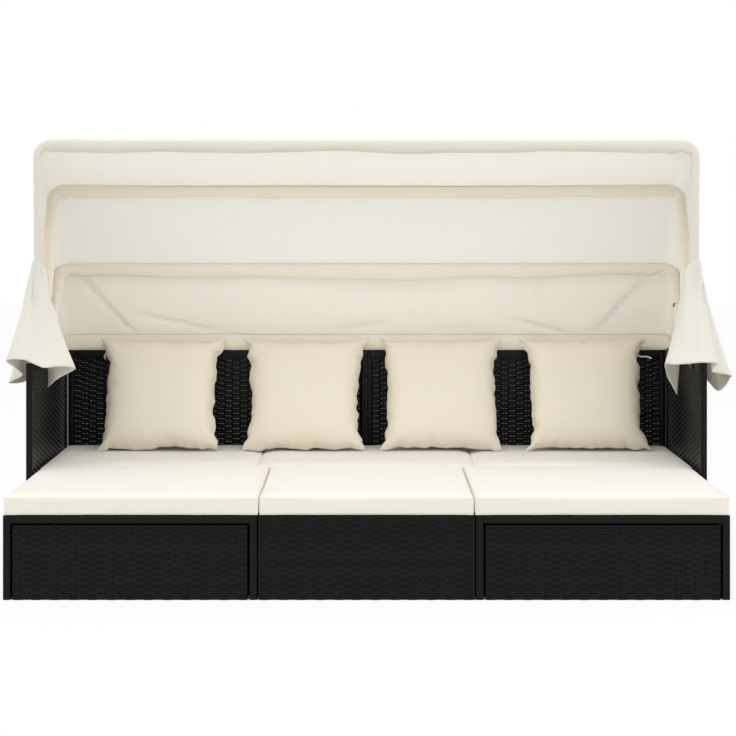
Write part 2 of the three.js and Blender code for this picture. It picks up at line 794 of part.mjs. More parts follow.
function canopyPanel(name, span) {
  const columns = spanStations(span).map(({ place, corner, sag }) => {
    const reach = place.length();
    const radial = place.clone().normalize();
    const right = halfHoop(clothHalfWidth, clothStart, clothHalfWidth, reach, corner);
    const [foot, ...turn] = right;
    const side = [];
    for (let step = 0; step < sideSteps; step += 1) {
      const up = THREE.MathUtils.lerp(foot[1], turn[0][1], step / sideSteps);
      side.push([clothHalfWidth, up]);
    }
    const flat = turn[turn.length - 1][0];
    const top = [];
    for (let step = 1; step < topSteps; step += 1) {
      const across = THREE.MathUtils.lerp(flat, -flat, step / topSteps);
      top.push([across, reach - sag * (1 - (across / flat) ** 2)]);
    }
    const half = [...side, ...turn];
    const mirror = half.map(([across, up]) => [-across, up]).reverse();
    return [...half, ...top, ...mirror].map(([across, up]) =>
      new THREE.Vector3(across, radial.x * up, radial.y * up));
  });
  add(name, thickSheet(columns, clothThickness), canopyCloth, 0, pivotY, pivotHeight);
}

// Side skirts: loose cloth that leaves the front hoop's foot, wraps round the front of the arm
// and hangs outside it. Each hem place is shares of: reach out from the arm's middle plane,
// the lounge's depth from the arm's front, and the drop below the pivot
const hemShares = [
  [-0.43, 0.172, 1.06],
  [-0.85, 0.11, 0.8],
  [-1.56, 0.06, 0.43],
  [-1.2, -0.025, 0.3],
  [-0.62, -0.05, 0.33],
  [-0.2, -0.043, 0.2],
  [0.12, -0.05, 0.1],
  [0.55, -0.036, 0.08],
  [0.84, 0.005, 0.17],
  [0.6, 0.05, 0.39],
  [0.42, 0.125, 0.66],
  [0.82, 0.17, 0.86],
  [1.0, 0.23, 0.98],
  [0.7, 0.34, 1],
  [0.4, 0.5, 0.72],
  [0.3, 0.7, 0.46],
  [0.22, 0.87, 0.28],
];
const collarPlaces = 9;
const collarTurn = THREE.MathUtils.degToRad(200);
const collarHeightShare = 0.436;
const sideTopShares = [0.405, 0.37, 0.325, 0.275, 0.2, 0.13, 0.075, 0.035];
const skirtColumns = 32;
const skirtRows = 7;
const flareShare = 1.6;

function skirtHem() {
  return hemShares.map(([out, along, down]) => new THREE.Vector3(
    armMiddleX + out * skirtReach,
    armFrontY + along * loungeDepth,
    pivotHeight - down * skirtDrop,
  ));
}

function skirtTop() {
  const legTilt = Math.tan(frontHoopTilt);
  const collarRise = collarHeightShare * frontHoopReach;
  const legY = pivotY + collarRise * legTilt;
  const outsideX = clothHalfWidth + clothThickness + clearance;
  const places = [];
  for (let place = 0; place < collarPlaces; place += 1) {
    const angle = Math.PI - collarTurn * (place / (collarPlaces - 1)) + (collarTurn - Math.PI) / 2;
    const x = hoopHalfWidth + skirtCollar * Math.cos(angle);
    const y = legY - skirtCollar * Math.sin(angle);
    places.push(new THREE.Vector3(Math.min(x, outsideX), y, pivotHeight + collarRise));
  }
  sideTopShares.forEach((share, index) => {
    const along = hemShares[collarPlaces + index][1];
    const y = armFrontY + along * loungeDepth;
    places.push(new THREE.Vector3(outsideX, Math.max(y, legY + skirtCollar), pivotHeight + share * frontHoopReach));
  });
  return places;
}

function skirt(sideName, sign) {
  const topLine = new THREE.CatmullRomCurve3(skirtTop());
  const hemLine = new THREE.CatmullRomCurve3(skirtHem());
  const lines = [];
  for (let column = 0; column <= skirtColumns; column += 1) {
    const top = topLine.getPoint(column / skirtColumns);
    const hem = hemLine.getPoint(column / skirtColumns);
    const line = [];
    for (let row = 0; row <= skirtRows; row += 1) {
      const down = row / skirtRows;
      const flare = down ** flareShare;
      line.push(new THREE.Vector3(
        THREE.MathUtils.lerp(top.x, hem.x, flare),
        THREE.MathUtils.lerp(top.y, hem.y, flare),
        THREE.MathUtils.lerp(top.z, hem.z, down),
      ));
    }
    lines.push(line);
  }
  add(`${sideName}_skirt`, mirrored(thickSheet(lines, clothThickness), sign), canopyCloth);
}

// The whole daybed
for (const [sideName, sign] of [['left', -1], ['right', 1]]) {
  armPanel(sideName, sign);
  backPanel(sideName, sign);
  bracket(sideName, sign);
  pivotBolt(sideName, sign);
  skirt(sideName, sign);
  outerStool(`${sideName}_stool`, sideStoolWidth, sign * sideStoolX);
  plainStool(`${sideName}_nested_stool`, nestedWidth, nestedDepth, nestedHeight, sign * sideStoolX, frontY);
  add(
    `${sideName}_stool_cushion`,
    boxCushion(sideStoolWidth, stoolDepth, stoolCushionThickness),
    cushionCloth,
    sign * sideStoolX,
    frontY + stoolDepth / 2,
    stoolHeight + clearance,
  );
}
plainStool('middle_stool', middleStoolWidth, stoolDepth, stoolHeight, 0, frontY);
add(
  'middle_stool_cushion',
  boxCushion(middleStoolWidth - 2 * middleCushionInset, stoolDepth, stoolCushionThickness),
  cushionCloth,
  0,
  frontY + stoolDepth / 2,
  stoolHeight + clearance,
);
seat();
seatCushions();
pillows();
hoop('front_hoop', frontHoopReach, frontHoopTilt, hubOuterX.front);
hoop('middle_hoop', middleHoopReach, middleHoopTilt, hubOuterX.middle);
hoop('rear_hoop', rearHoopReach, rearHoopTilt, hubOuterX.rear);
rail();
canopyPanel('front_canopy_panel', 0);
canopyPanel('middle_canopy_panel', 1);
canopyPanel('rear_canopy_panel', 2);

export default daybed;
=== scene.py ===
"""Outdoor daybed with a folding canopy: wicker lounge, three footstools, box cushions, pillows and cloth.

Metres. +X is to the right as seen from the front, +Y to the back, +Z up, the origin on the ground.
"""

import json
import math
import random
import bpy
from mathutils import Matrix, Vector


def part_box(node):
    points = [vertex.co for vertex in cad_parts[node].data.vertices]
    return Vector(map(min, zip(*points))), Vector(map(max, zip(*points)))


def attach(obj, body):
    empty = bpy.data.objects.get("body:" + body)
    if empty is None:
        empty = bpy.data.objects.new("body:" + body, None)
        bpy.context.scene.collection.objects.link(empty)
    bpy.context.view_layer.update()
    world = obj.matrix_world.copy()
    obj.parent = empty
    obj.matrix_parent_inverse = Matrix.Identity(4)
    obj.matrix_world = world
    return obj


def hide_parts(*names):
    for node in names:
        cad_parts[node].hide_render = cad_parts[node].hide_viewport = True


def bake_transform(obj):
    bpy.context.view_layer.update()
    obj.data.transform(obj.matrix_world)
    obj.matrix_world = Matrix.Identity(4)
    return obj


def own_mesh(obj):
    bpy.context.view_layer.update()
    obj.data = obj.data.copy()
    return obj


bl_info = {
    "name": "Outdoor daybed with canopy",
    "version": (1, 0, 0),
    "blender": (4, 5, 0),
    "location": "View3D > Sidebar > Daybed",
    "description": "Dresses the frame of a garden daybed in wicker, cushions and canopy cloth",
    "category": "Object",
}

import bmesh
import bpy
from mathutils import Matrix, Vector, noise

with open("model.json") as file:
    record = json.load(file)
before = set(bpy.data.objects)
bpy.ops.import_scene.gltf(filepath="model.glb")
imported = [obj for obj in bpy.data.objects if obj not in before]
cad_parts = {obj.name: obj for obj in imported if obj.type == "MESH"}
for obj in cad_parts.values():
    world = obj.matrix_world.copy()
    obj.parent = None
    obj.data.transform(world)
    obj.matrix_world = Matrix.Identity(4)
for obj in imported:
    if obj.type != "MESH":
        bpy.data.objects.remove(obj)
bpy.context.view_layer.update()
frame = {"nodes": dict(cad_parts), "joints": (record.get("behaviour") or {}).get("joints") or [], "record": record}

SIDES = (("left", -1), ("right", 1))
HINGE = next(joint for joint in frame["joints"] if joint["name"] == "canopy_rear_hinge")
PIVOT = Vector(HINGE["pos_m"])
RAIL_LOW, RAIL_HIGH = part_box("rear_rail")
RAIL = (RAIL_LOW + RAIL_HIGH) / 2
MM = 0.001


# Sizes and colours that a user would change


def linear(value):
    """A linear colour from an sRGB hex value."""
    channels = [((value >> shift) & 255) / 255 for shift in (16, 8, 0)]
    return [c / 12.92 if c <= 0.04045 else ((c + 0.055) / 1.055) ** 2.4 for c in channels]


def length(name, description, default):
    return bpy.props.FloatProperty(name=name, description=description, default=default, unit="LENGTH")


def tint(name, description, value):
    return bpy.props.FloatVectorProperty(
        name=name, description=description, default=linear(value), subtype="COLOR", size=3
    )


class DaybedWicker(bpy.types.PropertyGroup):
    stake_pitch: length("Stake pitch", "From one upright stake to the next", 0.025)
    row_pitch: length("Row pitch", "From one row of strand to the next", 0.0084)
    strand_width: length("Strand width", "Width of the flat strand", 0.0091)
    strand_thickness: length("Strand thickness", "Thickness of the flat strand", 0.0012)
    weave_depth: length("Weave depth", "How far a row swings out from the stakes", 0.0018)
    wrap_pitch: length("Wrap pitch", "From one turn round a frame bar to the next", 0.0082)
    wrap_groove: length("Wrap groove", "Depth between two turns", 0.0005)
    band: length("Band", "Width of the wrapped bars", 0.020)
    top_band: length("Top band", "Height of the wrapped top bars of arms and back", 0.028)
    left_gap_fill: length("Left gap fill", "How far strand fills the gap at the left arm", 0.0012)
    right_gap_fill: length("Right gap fill", "How far strand fills the gap at the right arm", 0.0035)
    middle_gap_fill: length("Middle gap fill", "How far strand fills the gap between the back frames", 0.0042)
    colour: tint("Strand colour", "Black strand", 0x0B0B0C)


class DaybedCushions(bpy.types.PropertyGroup):
    cell: length("Cell", "Mesh size of the padded pieces", 0.013)
    inset: length("Inset", "How much smaller a cover is cut than its place", 0.0010)
    side_growth: length("Side growth", "How far covers swell sideways to their neighbours", 0.0048)
    crown: length("Crown", "How far the top stands up in the middle", 0.009)
    seam_radius: length("Seam radius", "Radius of the turned seam", 0.0012)
    colour: tint("Cushion colour", "Off-white cloth", 0xF2EDE1)
    pillow_cut: length("Pillow cut", "Side of a pillow cover from corner to corner", 0.39)
    pillow_depth: length("Pillow depth", "Half the thickness of a filled pillow", 0.052)
    pillow_draw: length("Pillow draw", "How far the filling draws a pillow's sides in", 0.021)
    pillow_lean: bpy.props.FloatProperty(
        name="Pillow lean", description="Lean of a pillow to the back", default=math.radians(24), subtype="ANGLE"
    )
    pillow_colour: tint("Pillow colour", "Cream cloth", 0xF0E8D6)


class DaybedCanopy(bpy.types.PropertyGroup):
    half_width: length("Half width", "From the middle to the middle of a hoop's leg", 0.990)
    corner: length("Corner", "Bend radius at the middle of a hoop's tube", 0.046)
    tube: length("Tube radius", "Radius of a hoop's tube", 0.0095)
    hub: length("Hub", "Width of a hoop's hub with the gap beside it", 0.0203)
    straight_foot: length("Straight foot", "How far up a leg is straight before it leans out", 0.034)
    rail_corner: length("Rail corner", "Bend radius of the cloth at the rail's ends", 0.030)
    fit: length("Fit", "From a hoop's tube to the middle of the cloth over it", 0.0008)
    cloth: length("Cloth thickness", "Thickness of the canopy cloth", 0.0009)
    sag: length("Sag", "How far the cloth hangs in between two hoops", 0.014)
    colour: tint("Canopy colour", "Off-white coated cloth", 0xF4F2ED)
    # Its warmer tint is painted shade, for the warm shade under sleeves and hems; the lower glow is the doubled
    # cloth's own
    doubled_cloth_shade_colour: tint("Hem colour", "Doubled cloth, which lets less light through", 0xFAF2E0)
    # The front hem's greyer colour is painted shade on the same cloth, as if its top were in shadow
    front_hem_shade_colour: tint("Edge colour", "Front hem, greyer from the weather", 0xE4DECE)
    # The rear panel's creamier colour is painted shade on the same cloth, for a panel that faces back
    shaded_colour: tint("Rear colour", "Rear panel, a little creamier than the others", 0xF5EFE3)
    # The skirts' duller colour is painted shade on the same cloth as the canopy
    skirt_shade_colour: tint("Skirt colour", "Skirts, which the weather has dulled most", 0xE0DDD3)


class DaybedStage(bpy.types.PropertyGroup):
    distance: length("Camera distance", "From the origin to the camera, to the front", 5.07)
    height: length("Camera height", "Height of the camera", 1.04)
    lens: bpy.props.FloatProperty(name="Lens", description="Focal length in millimetres", default=83.15)
    key_power: bpy.props.FloatProperty(name="Key", description="Power of the overhead lamp in watts", default=60)
    fill_power: bpy.props.FloatProperty(name="Front", description="Power of the front lamp in watts", default=2)
    side_power: bpy.props.FloatProperty(name="Sides", description="Power of each side lamp in watts", default=15)
    rear_power: bpy.props.FloatProperty(name="Rear", description="Power of the rear lamp in watts", default=14)
    sky: bpy.props.FloatProperty(name="Sky", description="Strength of the light from all round", default=0.72)


def sizes(group):
    return getattr(bpy.context.scene, "daybed_" + group)


# Materials


def add_node(tree, kind, inputs=None, **settings):
    """Adds a node, sets its properties, and sets or links its inputs."""
    node = tree.nodes.new(kind)
    for name, value in settings.items():
        setattr(node, name, value)
    for name, value in (inputs or {}).items():
        if isinstance(value, bpy.types.NodeSocket):
            tree.links.new(value, node.inputs[name])
        else:
            node.inputs[name].default_value = value
    return node


def new_material(name, shader_inputs):
    """A new named material with one Principled shader."""
    material = bpy.data.materials.new(name)
    material.use_nodes = True
    tree = material.node_tree
    shader = tree.nodes["Principled BSDF"]
    for key, value in shader_inputs.items():
        shader.inputs[key].default_value = value
    return material, tree, shader


def wave_scale(period):
    """The scale at which a Wave Texture's bands repeat at a real length."""
    return math.tau / 20 / period


def wicker_material(name):
    """Extruded polyethylene strand: satin, grained lengthwise, a little uneven from strand to strand."""
    wicker = sizes("wicker")
    colour = (*wicker.colour, 1)
    material, tree, shader = new_material(name, {"IOR": 1.5, "Specular IOR Level": 0.16})
    uv = add_node(tree, "ShaderNodeUVMap", uv_map="strand")
    # Grain lines lie 0.7 mm apart and fade in and out over 40 mm
    stretched = add_node(tree, "ShaderNodeMapping", {"Vector": uv.outputs["UV"], "Scale": (25, 1400, 1)})
    grain = add_node(tree, "ShaderNodeTexNoise", {"Vector": stretched.outputs["Vector"], "Scale": 1, "Detail": 3})
    # Each row of strand has its own shade
    split = add_node(tree, "ShaderNodeSeparateXYZ", {0: uv.outputs["UV"]})
    row = add_node(tree, "ShaderNodeMath", {0: split.outputs["Y"], 1: wicker.row_pitch}, operation="DIVIDE")
    whole = add_node(tree, "ShaderNodeMath", {0: row.outputs[0]}, operation="FLOOR")
    shade = add_node(tree, "ShaderNodeTexWhiteNoise", {"W": whole.outputs[0]}, noise_dimensions="1D")
    mixed = add_node(
        tree, "ShaderNodeMath", {0: shade.outputs["Value"], 1: grain.outputs["Fac"]}, operation="ADD"
    )
    share = add_node(
        tree,
        "ShaderNodeMapRange",
        {"Value": mixed.outputs[0], "From Min": 0.3, "From Max": 1.7, "To Min": 0.0, "To Max": 1.0},
    )
    colours = add_node(
        tree,
        "ShaderNodeMix",
        {
            "Factor": share.outputs["Result"],
            "A": [c * 0.72 for c in colour[:3]] + [1],
            "B": [c * 1.45 for c in colour[:3]] + [1],
        },
        data_type="RGBA",
    )
    tree.links.new(colours.outputs["Result"], shader.inputs["Base Color"])
    rough = add_node(
        tree, "ShaderNodeMapRange", {"Value": grain.outputs["Fac"], "To Min": 0.24, "To Max": 0.40}
    )
    tree.links.new(rough.outputs["Result"], shader.inputs["Roughness"])
    bump = add_node(tree, "ShaderNodeBump", {"Height": grain.outputs["Fac"], "Strength": 0.35, "Distance": 0.0003})
    tree.links.new(bump.outputs["Normal"], shader.inputs["Normal"])
    return material


def paint_material(name):
    """Black powder coat on steel: satin, with the fine orange peel of a baked powder."""
    material, tree, shader = new_material(
        name, {"Base Color": (*linear(0x18181A), 1), "Metallic": 0.0, "IOR": 1.5}
    )
    place = add_node(tree, "ShaderNodeTexCoord")
    # Orange peel about 1.5 mm across
    peel = add_node(
        tree, "ShaderNodeTexNoise", {"Vector": place.outputs["Object"], "Scale": 650, "Detail": 2}
    )
    rough = add_node(tree, "ShaderNodeMapRange", {"Value": peel.outputs["Fac"], "To Min": 0.34, "To Max": 0.5})
    tree.links.new(rough.outputs["Result"], shader.inputs["Roughness"])
    bump = add_node(tree, "ShaderNodeBump", {"Height": peel.outputs["Fac"], "Strength": 0.2, "Distance": 0.0002})
    tree.links.new(bump.outputs["Normal"], shader.inputs["Normal"])
    return material


def zinc_material(name):
    """Bright zinc plate on turned steel: a pale blue-grey metal with faint clouding."""
    material, tree, shader = new_material(name, {"Metallic": 1.0})
    place = add_node(tree, "ShaderNodeTexCoord")
    cloud = add_node(
        tree, "ShaderNodeTexNoise", {"Vector": place.outputs["Object"], "Scale": 180, "Detail": 4}
    )
    colours = add_node(
        tree,
        "ShaderNodeMix",
        {"Factor": cloud.outputs["Fac"], "A": (*linear(0x9EA2A6), 1), "B": (*linear(0xC9CDD0), 1)},
        data_type="RGBA",
    )
    tree.links.new(colours.outputs["Result"], shader.inputs["Base Color"])
    rough = add_node(tree, "ShaderNodeMapRange", {"Value": cloud.outputs["Fac"], "To Min": 0.26, "To Max": 0.42})
    tree.links.new(rough.outputs["Result"], shader.inputs["Roughness"])
    return material


def plastic_material(name):
    """Moulded black polypropylene: matt, with a fine spark-eroded grain."""
    material, tree, shader = new_material(name, {"Base Color": (*linear(0x141414), 1), "Roughness": 0.58, "IOR": 1.49})
    place = add_node(tree, "ShaderNodeTexCoord")
    # Grain about 0.8 mm across
    spark = add_node(
        tree, "ShaderNodeTexVoronoi", {"Vector": place.outputs["Object"], "Scale": 1250}
    )
    bump = add_node(
        tree, "ShaderNodeBump", {"Height": spark.outputs["Distance"], "Strength": 0.25, "Distance": 0.0002}
    )
    tree.links.new(bump.outputs["Normal"], shader.inputs["Normal"])
    return material


def cloth_material(name, colour, thread, uneven, sheen, own_uv, glow=0.0):
    """Plain-woven cloth: two crossing sets of threads, softly mottled, matt with a trace of sheen.

    Glow is the share of the light that goes into thin cloth and comes out on both of its faces.

    The real threads are about 0.5 mm apart, which the picture can't show, so they are drawn coarser.
    """
    material, tree, shader = new_material(
        name, {"Roughness": 0.88, "IOR": 1.45, "Specular IOR Level": 0.25, "Sheen Weight": sheen}
    )
    shader.inputs["Sheen Roughness"].default_value = 0.5
    if glow:
        shader.inputs["Subsurface Weight"].default_value = glow
        shader.inputs["Subsurface Radius"].default_value = (1.0, 0.92, 0.8)
        shader.inputs["Subsurface Scale"].default_value = 0.003
    if own_uv:
        place = add_node(tree, "ShaderNodeUVMap", uv_map="cloth").outputs["UV"]
        directions = ("X", "Y")
    else:
        place = add_node(tree, "ShaderNodeTexCoord").outputs["Object"]
        directions = ("X", "Y", "Z")
    height = None
    for direction in directions:
        threads = add_node(
            tree,
            "ShaderNodeTexWave",
            {"Vector": place, "Scale": wave_scale(thread), "Distortion": 0.6, "Detail": 1, "Detail Scale": 2},
            bands_direction=direction,
        )
        if height is None:
            height = threads.outputs["Fac"]
        else:
            height = add_node(tree, "ShaderNodeMath", {0: height, 1: threads.outputs["Fac"]}).outputs[0]
    # Mottling about 60 mm across, and slubs about 5 mm long
    mottle = add_node(tree, "ShaderNodeTexNoise", {"Vector": place, "Scale": 16, "Detail": 4, "Roughness": 0.6})
    slub = add_node(tree, "ShaderNodeTexNoise", {"Vector": place, "Scale": 210, "Detail": 2})
    both = add_node(
        tree,
        "ShaderNodeMix",
        {"Factor": 0.35, "A": mottle.outputs["Fac"], "B": slub.outputs["Fac"]},
        data_type="FLOAT",
    )
    darker = [c * (1 - uneven) for c in colour]
    lighter = [min(1, c * (1 + uneven * 0.5)) for c in colour]
    colours = add_node(
        tree,
        "ShaderNodeMix",
        {"Factor": both.outputs["Result"], "A": (*darker, 1), "B": (*lighter, 1)},
        data_type="RGBA",
    )
    tree.links.new(colours.outputs["Result"], shader.inputs["Base Color"])
    summed = add_node(
        tree,
        "ShaderNodeMath",
        {0: slub.outputs["Fac"], 1: 1.5, 2: height},
        operation="MULTIPLY_ADD",
    )
    bump = add_node(
        tree, "ShaderNodeBump", {"Height": summed.outputs[0], "Strength": 0.3, "Distance": thread * 0.15}
    )
    tree.links.new(bump.outputs["Normal"], shader.inputs["Normal"])
    return material


def stage_material(name, share_lit, low, high):
    """Pale studio floor: white to the camera and in reflections, with part of its real light and shadow.

    Between the low and high corners, under the object, it has all of its real light and shadow.
    """
    material, tree, shader = new_material(name, {"Base Color": (*linear(0xF4F3F1), 1), "Roughness": 0.9})
    rays = add_node(tree, "ShaderNodeLightPath")
    seen = add_node(
        tree, "ShaderNodeMath", {0: rays.outputs["Is Camera Ray"], 1: rays.outputs["Is Glossy Ray"]}
    )
    seen = add_node(
        tree, "ShaderNodeMath", {0: seen.outputs[0], 1: rays.outputs["Is Transmission Ray"]}, use_clamp=True
    )
    place = add_node(tree, "ShaderNodeTexCoord")
    split = add_node(tree, "ShaderNodeSeparateXYZ", {0: place.outputs["Object"]})
    under = None
    for axis, name in ((0, "X"), (1, "Y")):
        middle, half = (low[axis] + high[axis]) / 2, (high[axis] - low[axis]) / 2
        off = add_node(tree, "ShaderNodeMath", {0: split.outputs[name], 1: middle}, operation="SUBTRACT")
        away = add_node(tree, "ShaderNodeMath", {0: off.outputs[0]}, operation="ABSOLUTE")
        inside = add_node(
            tree,
            "ShaderNodeMapRange",
            {"Value": away.outputs[0], "From Min": half - 0.012, "From Max": half, "To Min": 1.0, "To Max": 0.0},
        )
        if under is None:
            under = inside.outputs["Result"]
        else:
            under = add_node(tree, "ShaderNodeMath", {0: under, 1: inside.outputs["Result"]}, operation="MULTIPLY").outputs[0]
    drawn = add_node(
        tree, "ShaderNodeMapRange", {"Value": under, "To Min": 1 - share_lit, "To Max": 0.0}
    )
    share = add_node(tree, "ShaderNodeMath", {0: seen.outputs[0], 1: drawn.outputs["Result"]}, operation="MULTIPLY")
    white = add_node(tree, "ShaderNodeEmission", {"Color": (1, 1, 1, 1), "Strength": 1.0})
    mixed = add_node(
        tree, "ShaderNodeMixShader", {0: share.outputs[0], 1: shader.outputs[0], 2: white.outputs[0]}
    )
    tree.links.new(mixed.outputs[0], tree.nodes["Material Output"].inputs["Surface"])
    return material


FINISHES = {
    "wicker": lambda: wicker_material("wicker_polyethylene_strand"),
    "painted_steel": lambda: paint_material("steel_black_powder_coat"),
    "zinc": lambda: zinc_material("steel_zinc_plated"),
    "black_plastic": lambda: plastic_material("polypropylene_moulded_black"),
    "cushion_cloth": lambda: cloth_material(
        "polyester_cushion_cloth", sizes("cushions").colour, 0.0016, 0.03, 0.8, False
    ),
    "pillow_cloth": lambda: cloth_material(
        "polyester_pillow_cloth", sizes("cushions").pillow_colour, 0.0016, 0.035, 0.15, False
    ),
    "canopy_cloth": lambda: cloth_material(
        "polyester_canopy_cloth", sizes("canopy").colour, 0.0018, 0.025, 0.05, True, 0.85
    ),
    # Sleeves, tunnels, rear hem and ties: doubled cloth with less glow, and painted shade in its warmer colour
    "canopy_doubled_and_shaded_cloth": lambda: cloth_material(
        "polyester_doubled_canopy_cloth_with_shade", sizes("canopy").doubled_cloth_shade_colour, 0.0018, 0.035, 0.05, True, 0.15
    ),
    # Rear panel: the canopy cloth with painted shade in its colour
    "canopy_cloth_shaded": lambda: cloth_material(
        "polyester_canopy_cloth_shaded", sizes("canopy").shaded_colour, 0.0018, 0.04, 0.05, True, 0.85
    ),
    # Skirts: the canopy cloth with painted shade in its colour
    "canopy_skirt_shaded_cloth": lambda: cloth_material(
        "polyester_skirt_canopy_cloth_with_shade", sizes("canopy").skirt_shade_colour, 0.0018, 0.04, 0.05, True, 0.5
    ),
    # Front hem: the canopy cloth with painted shade in its colour
    "canopy_front_hem_shaded_cloth": lambda: cloth_material(
        "polyester_front_hem_canopy_cloth_with_shade", sizes("canopy").front_hem_shade_colour, 0.0018, 0.04, 0.05, True, 0.5
    ),
}
made_finishes = {}


def finish(slot):
    if slot not in made_finishes:
        made_finishes[slot] = FINISHES[slot]()
    return made_finishes[slot]


# Making pieces


def new_piece(name, bm, slot, smooth_angle=35):
    """A new object from a bmesh, with its finish and its shading."""
    mesh = bpy.data.meshes.new(name)
    bm.to_mesh(mesh)
    bm.free()
    mesh.materials.append(finish(slot))
    mesh.shade_smooth()
    mesh.set_sharp_from_angle(angle=math.radians(smooth_angle))
    piece = bpy.data.objects.new(name, mesh)
    bpy.context.scene.collection.objects.link(piece)
    return piece


def apply_modifiers(piece):
    """Bakes a piece's modifiers into its mesh."""
    graph = bpy.context.evaluated_depsgraph_get()
    mesh = bpy.data.meshes.new_from_object(piece.evaluated_get(graph))
    piece.modifiers.clear()
    piece.data = mesh
    return piece


def gathered(parts):
    """One bmesh that holds several, which it frees."""
    whole = bmesh.new()
    for part in parts:
        mesh = bpy.data.meshes.new("part")
        part.to_mesh(mesh)
        part.free()
        whole.from_mesh(mesh)
        bpy.data.meshes.remove(mesh)
    return whole


def set_uv(bm, layer_name, place):
    """Writes a UV for each corner from a function of its vertex."""
    layer = bm.loops.layers.uv.new(layer_name)
    for face in bm.faces:
        for loop in face.loops:
            loop[layer].uv = place(loop.vert.co)


# Wicker


def swing(angle):
    """A row's swing past the stakes: long flat crests with short slopes between them."""
    return math.tanh(2.1 * math.sin(angle)) / math.tanh(2.1)


def woven_field(width, height, segments=5, across=2, open_weave=1.0):
    """Rows of flat strand that pass in front of and behind upright stakes, standing in XZ and facing -Y."""
    wicker = sizes("wicker")
    stakes = max(2, round(width / wicker.stake_pitch))
    pairs = max(1, round(height / wicker.row_pitch / 2))
    pitch = width / stakes
    row = height / pairs / 2
    strand = wicker.strand_width * row / wicker.row_pitch * open_weave
    depth = wicker.weave_depth / open_weave
    bm = bmesh.new()
    for phase in (0, 1):
        middle = (phase + 0.5) * row
        place = (
            Matrix.Translation((width / 2, 0, middle))
            @ Matrix.Rotation(math.pi / 2, 4, "X")
            @ Matrix.Diagonal((width, strand, 1, 1))
        )
        made = bmesh.ops.create_grid(
            bm, x_segments=stakes * segments, y_segments=across, size=0.5, matrix=place
        )
        for vert in made["verts"]:
            off = (vert.co.z - middle) / (strand / 2)
            crown = 0.55 * wicker.strand_thickness * (1 - off * off)
            angle = math.pi * (vert.co.x / pitch + phase)
            vert.co.y = -depth * swing(angle) - crown
    made = bmesh.ops.extrude_face_region(bm, geom=bm.faces[:], use_keep_orig=True)
    backs = [item for item in made["geom"] if isinstance(item, bmesh.types.BMVert)]
    bmesh.ops.translate(bm, verts=backs, vec=(0, wicker.strand_thickness, 0))
    bmesh.ops.recalc_face_normals(bm, faces=bm.faces[:])
    rows = bm.verts[:] + bm.edges[:] + bm.faces[:]
    for step in range(1, pairs):
        copy = bmesh.ops.duplicate(bm, geom=rows)
        verts = [item for item in copy["geom"] if isinstance(item, bmesh.types.BMVert)]
        bmesh.ops.translate(bm, verts=verts, vec=(0, 0, 2 * row * step))
    for stake in range(stakes):
        place = Matrix.Translation(((stake + 0.5) * pitch, 0, height / 2)) @ Matrix.Diagonal(
            (strand * 0.7, wicker.strand_thickness, height, 1)
        )
        bmesh.ops.create_cube(bm, size=1, matrix=place)
    set_uv(bm, "strand", lambda co: (co.x, co.z))
    return bm


def facing(bm, direction, origin):
    """Turns a field made in XZ, facing -Y, to face a direction, with its low corner at the origin given."""
    turns = {
        "-Y": Matrix.Identity(4),
        "+X": Matrix.Rotation(math.pi / 2, 4, "Z"),
        "-X": Matrix.Rotation(-math.pi / 2, 4, "Z"),
        "+Y": Matrix.Rotation(math.pi, 4, "Z"),
        "+Z": Matrix.Rotation(-math.pi / 2, 4, "X"),
    }
    bmesh.ops.transform(bm, matrix=Matrix.Translation(origin) @ turns[direction], verts=bm.verts[:])
    return bm


def wrapped_bar(low, high, axis, radius=0.0035):
    """A bar wrapped in flat strand: each turn is crowned, and grooves lie between the turns."""
    wicker = sizes("wicker")
    low, high = Vector(low), Vector(high)
    size = high - low
    middle = (low + high) / 2
    bm = bmesh.new()
    bmesh.ops.create_cube(bm, size=1, matrix=Matrix.Translation(middle) @ Matrix.Diagonal((*size, 1)))
    along = [edge for edge in bm.edges if abs((edge.verts[0].co - edge.verts[1].co)[axis]) > size[axis] / 2]
    others = [index for index in range(3) if index != axis]
    radius = min(radius, 0.4 * min(size[index] for index in others))
    bmesh.ops.bevel(
        bm,
        geom=along,
        offset=radius,
        offset_type="OFFSET",
        affect="EDGES",
        segments=2,
        profile=0.5,
        material=-1,
    )
    turns = max(2, round(size[axis] / wicker.wrap_pitch))
    along = [edge for edge in bm.edges if abs((edge.verts[0].co - edge.verts[1].co)[axis]) > size[axis] / 2]
    bmesh.ops.subdivide_edges(bm, edges=along, cuts=3 * turns - 1, use_grid_fill=True)
    for vert in bm.verts:
        turn = (vert.co[axis] - low[axis]) / size[axis] * turns
        dip = wicker.wrap_groove * (2 * (turn - math.floor(turn + 1e-6)) - 1) ** 2
        for index in others:
            half = size[index] / 2
            vert.co[index] = middle[index] + (vert.co[index] - middle[index]) * (1 - dip / half)
    bmesh.ops.recalc_face_normals(bm, faces=bm.faces[:])
    set_uv(bm, "strand", lambda co: (co[others[0]] + co[others[1]], co[axis]))
    return bm


def panel_bars(low, high, across, side, top, bottom):
    """Four wrapped bars round an upright panel that runs along one axis."""
    bars = []
    for start, end in ((low[across], low[across] + side), (high[across] - side, high[across])):
        bar_low, bar_high = Vector(low), Vector(high)
        bar_low[across], bar_high[across] = start, end
        bars.append(wrapped_bar(bar_low, bar_high, 2))
    for start, end in ((low[2], low[2] + bottom), (high[2] - top, high[2])):
        if end - start < 0.002:
            continue
        bar_low, bar_high = Vector(low), Vector(high)
        bar_low[across], bar_high[across] = low[across] + side, high[across] - side
        bar_low[2], bar_high[2] = start, end
        bars.append(wrapped_bar(bar_low, bar_high, across))
    return bars


# Arms and back are woven more openly than the footstools, so light comes through them
OPEN_WEAVE = 0.93


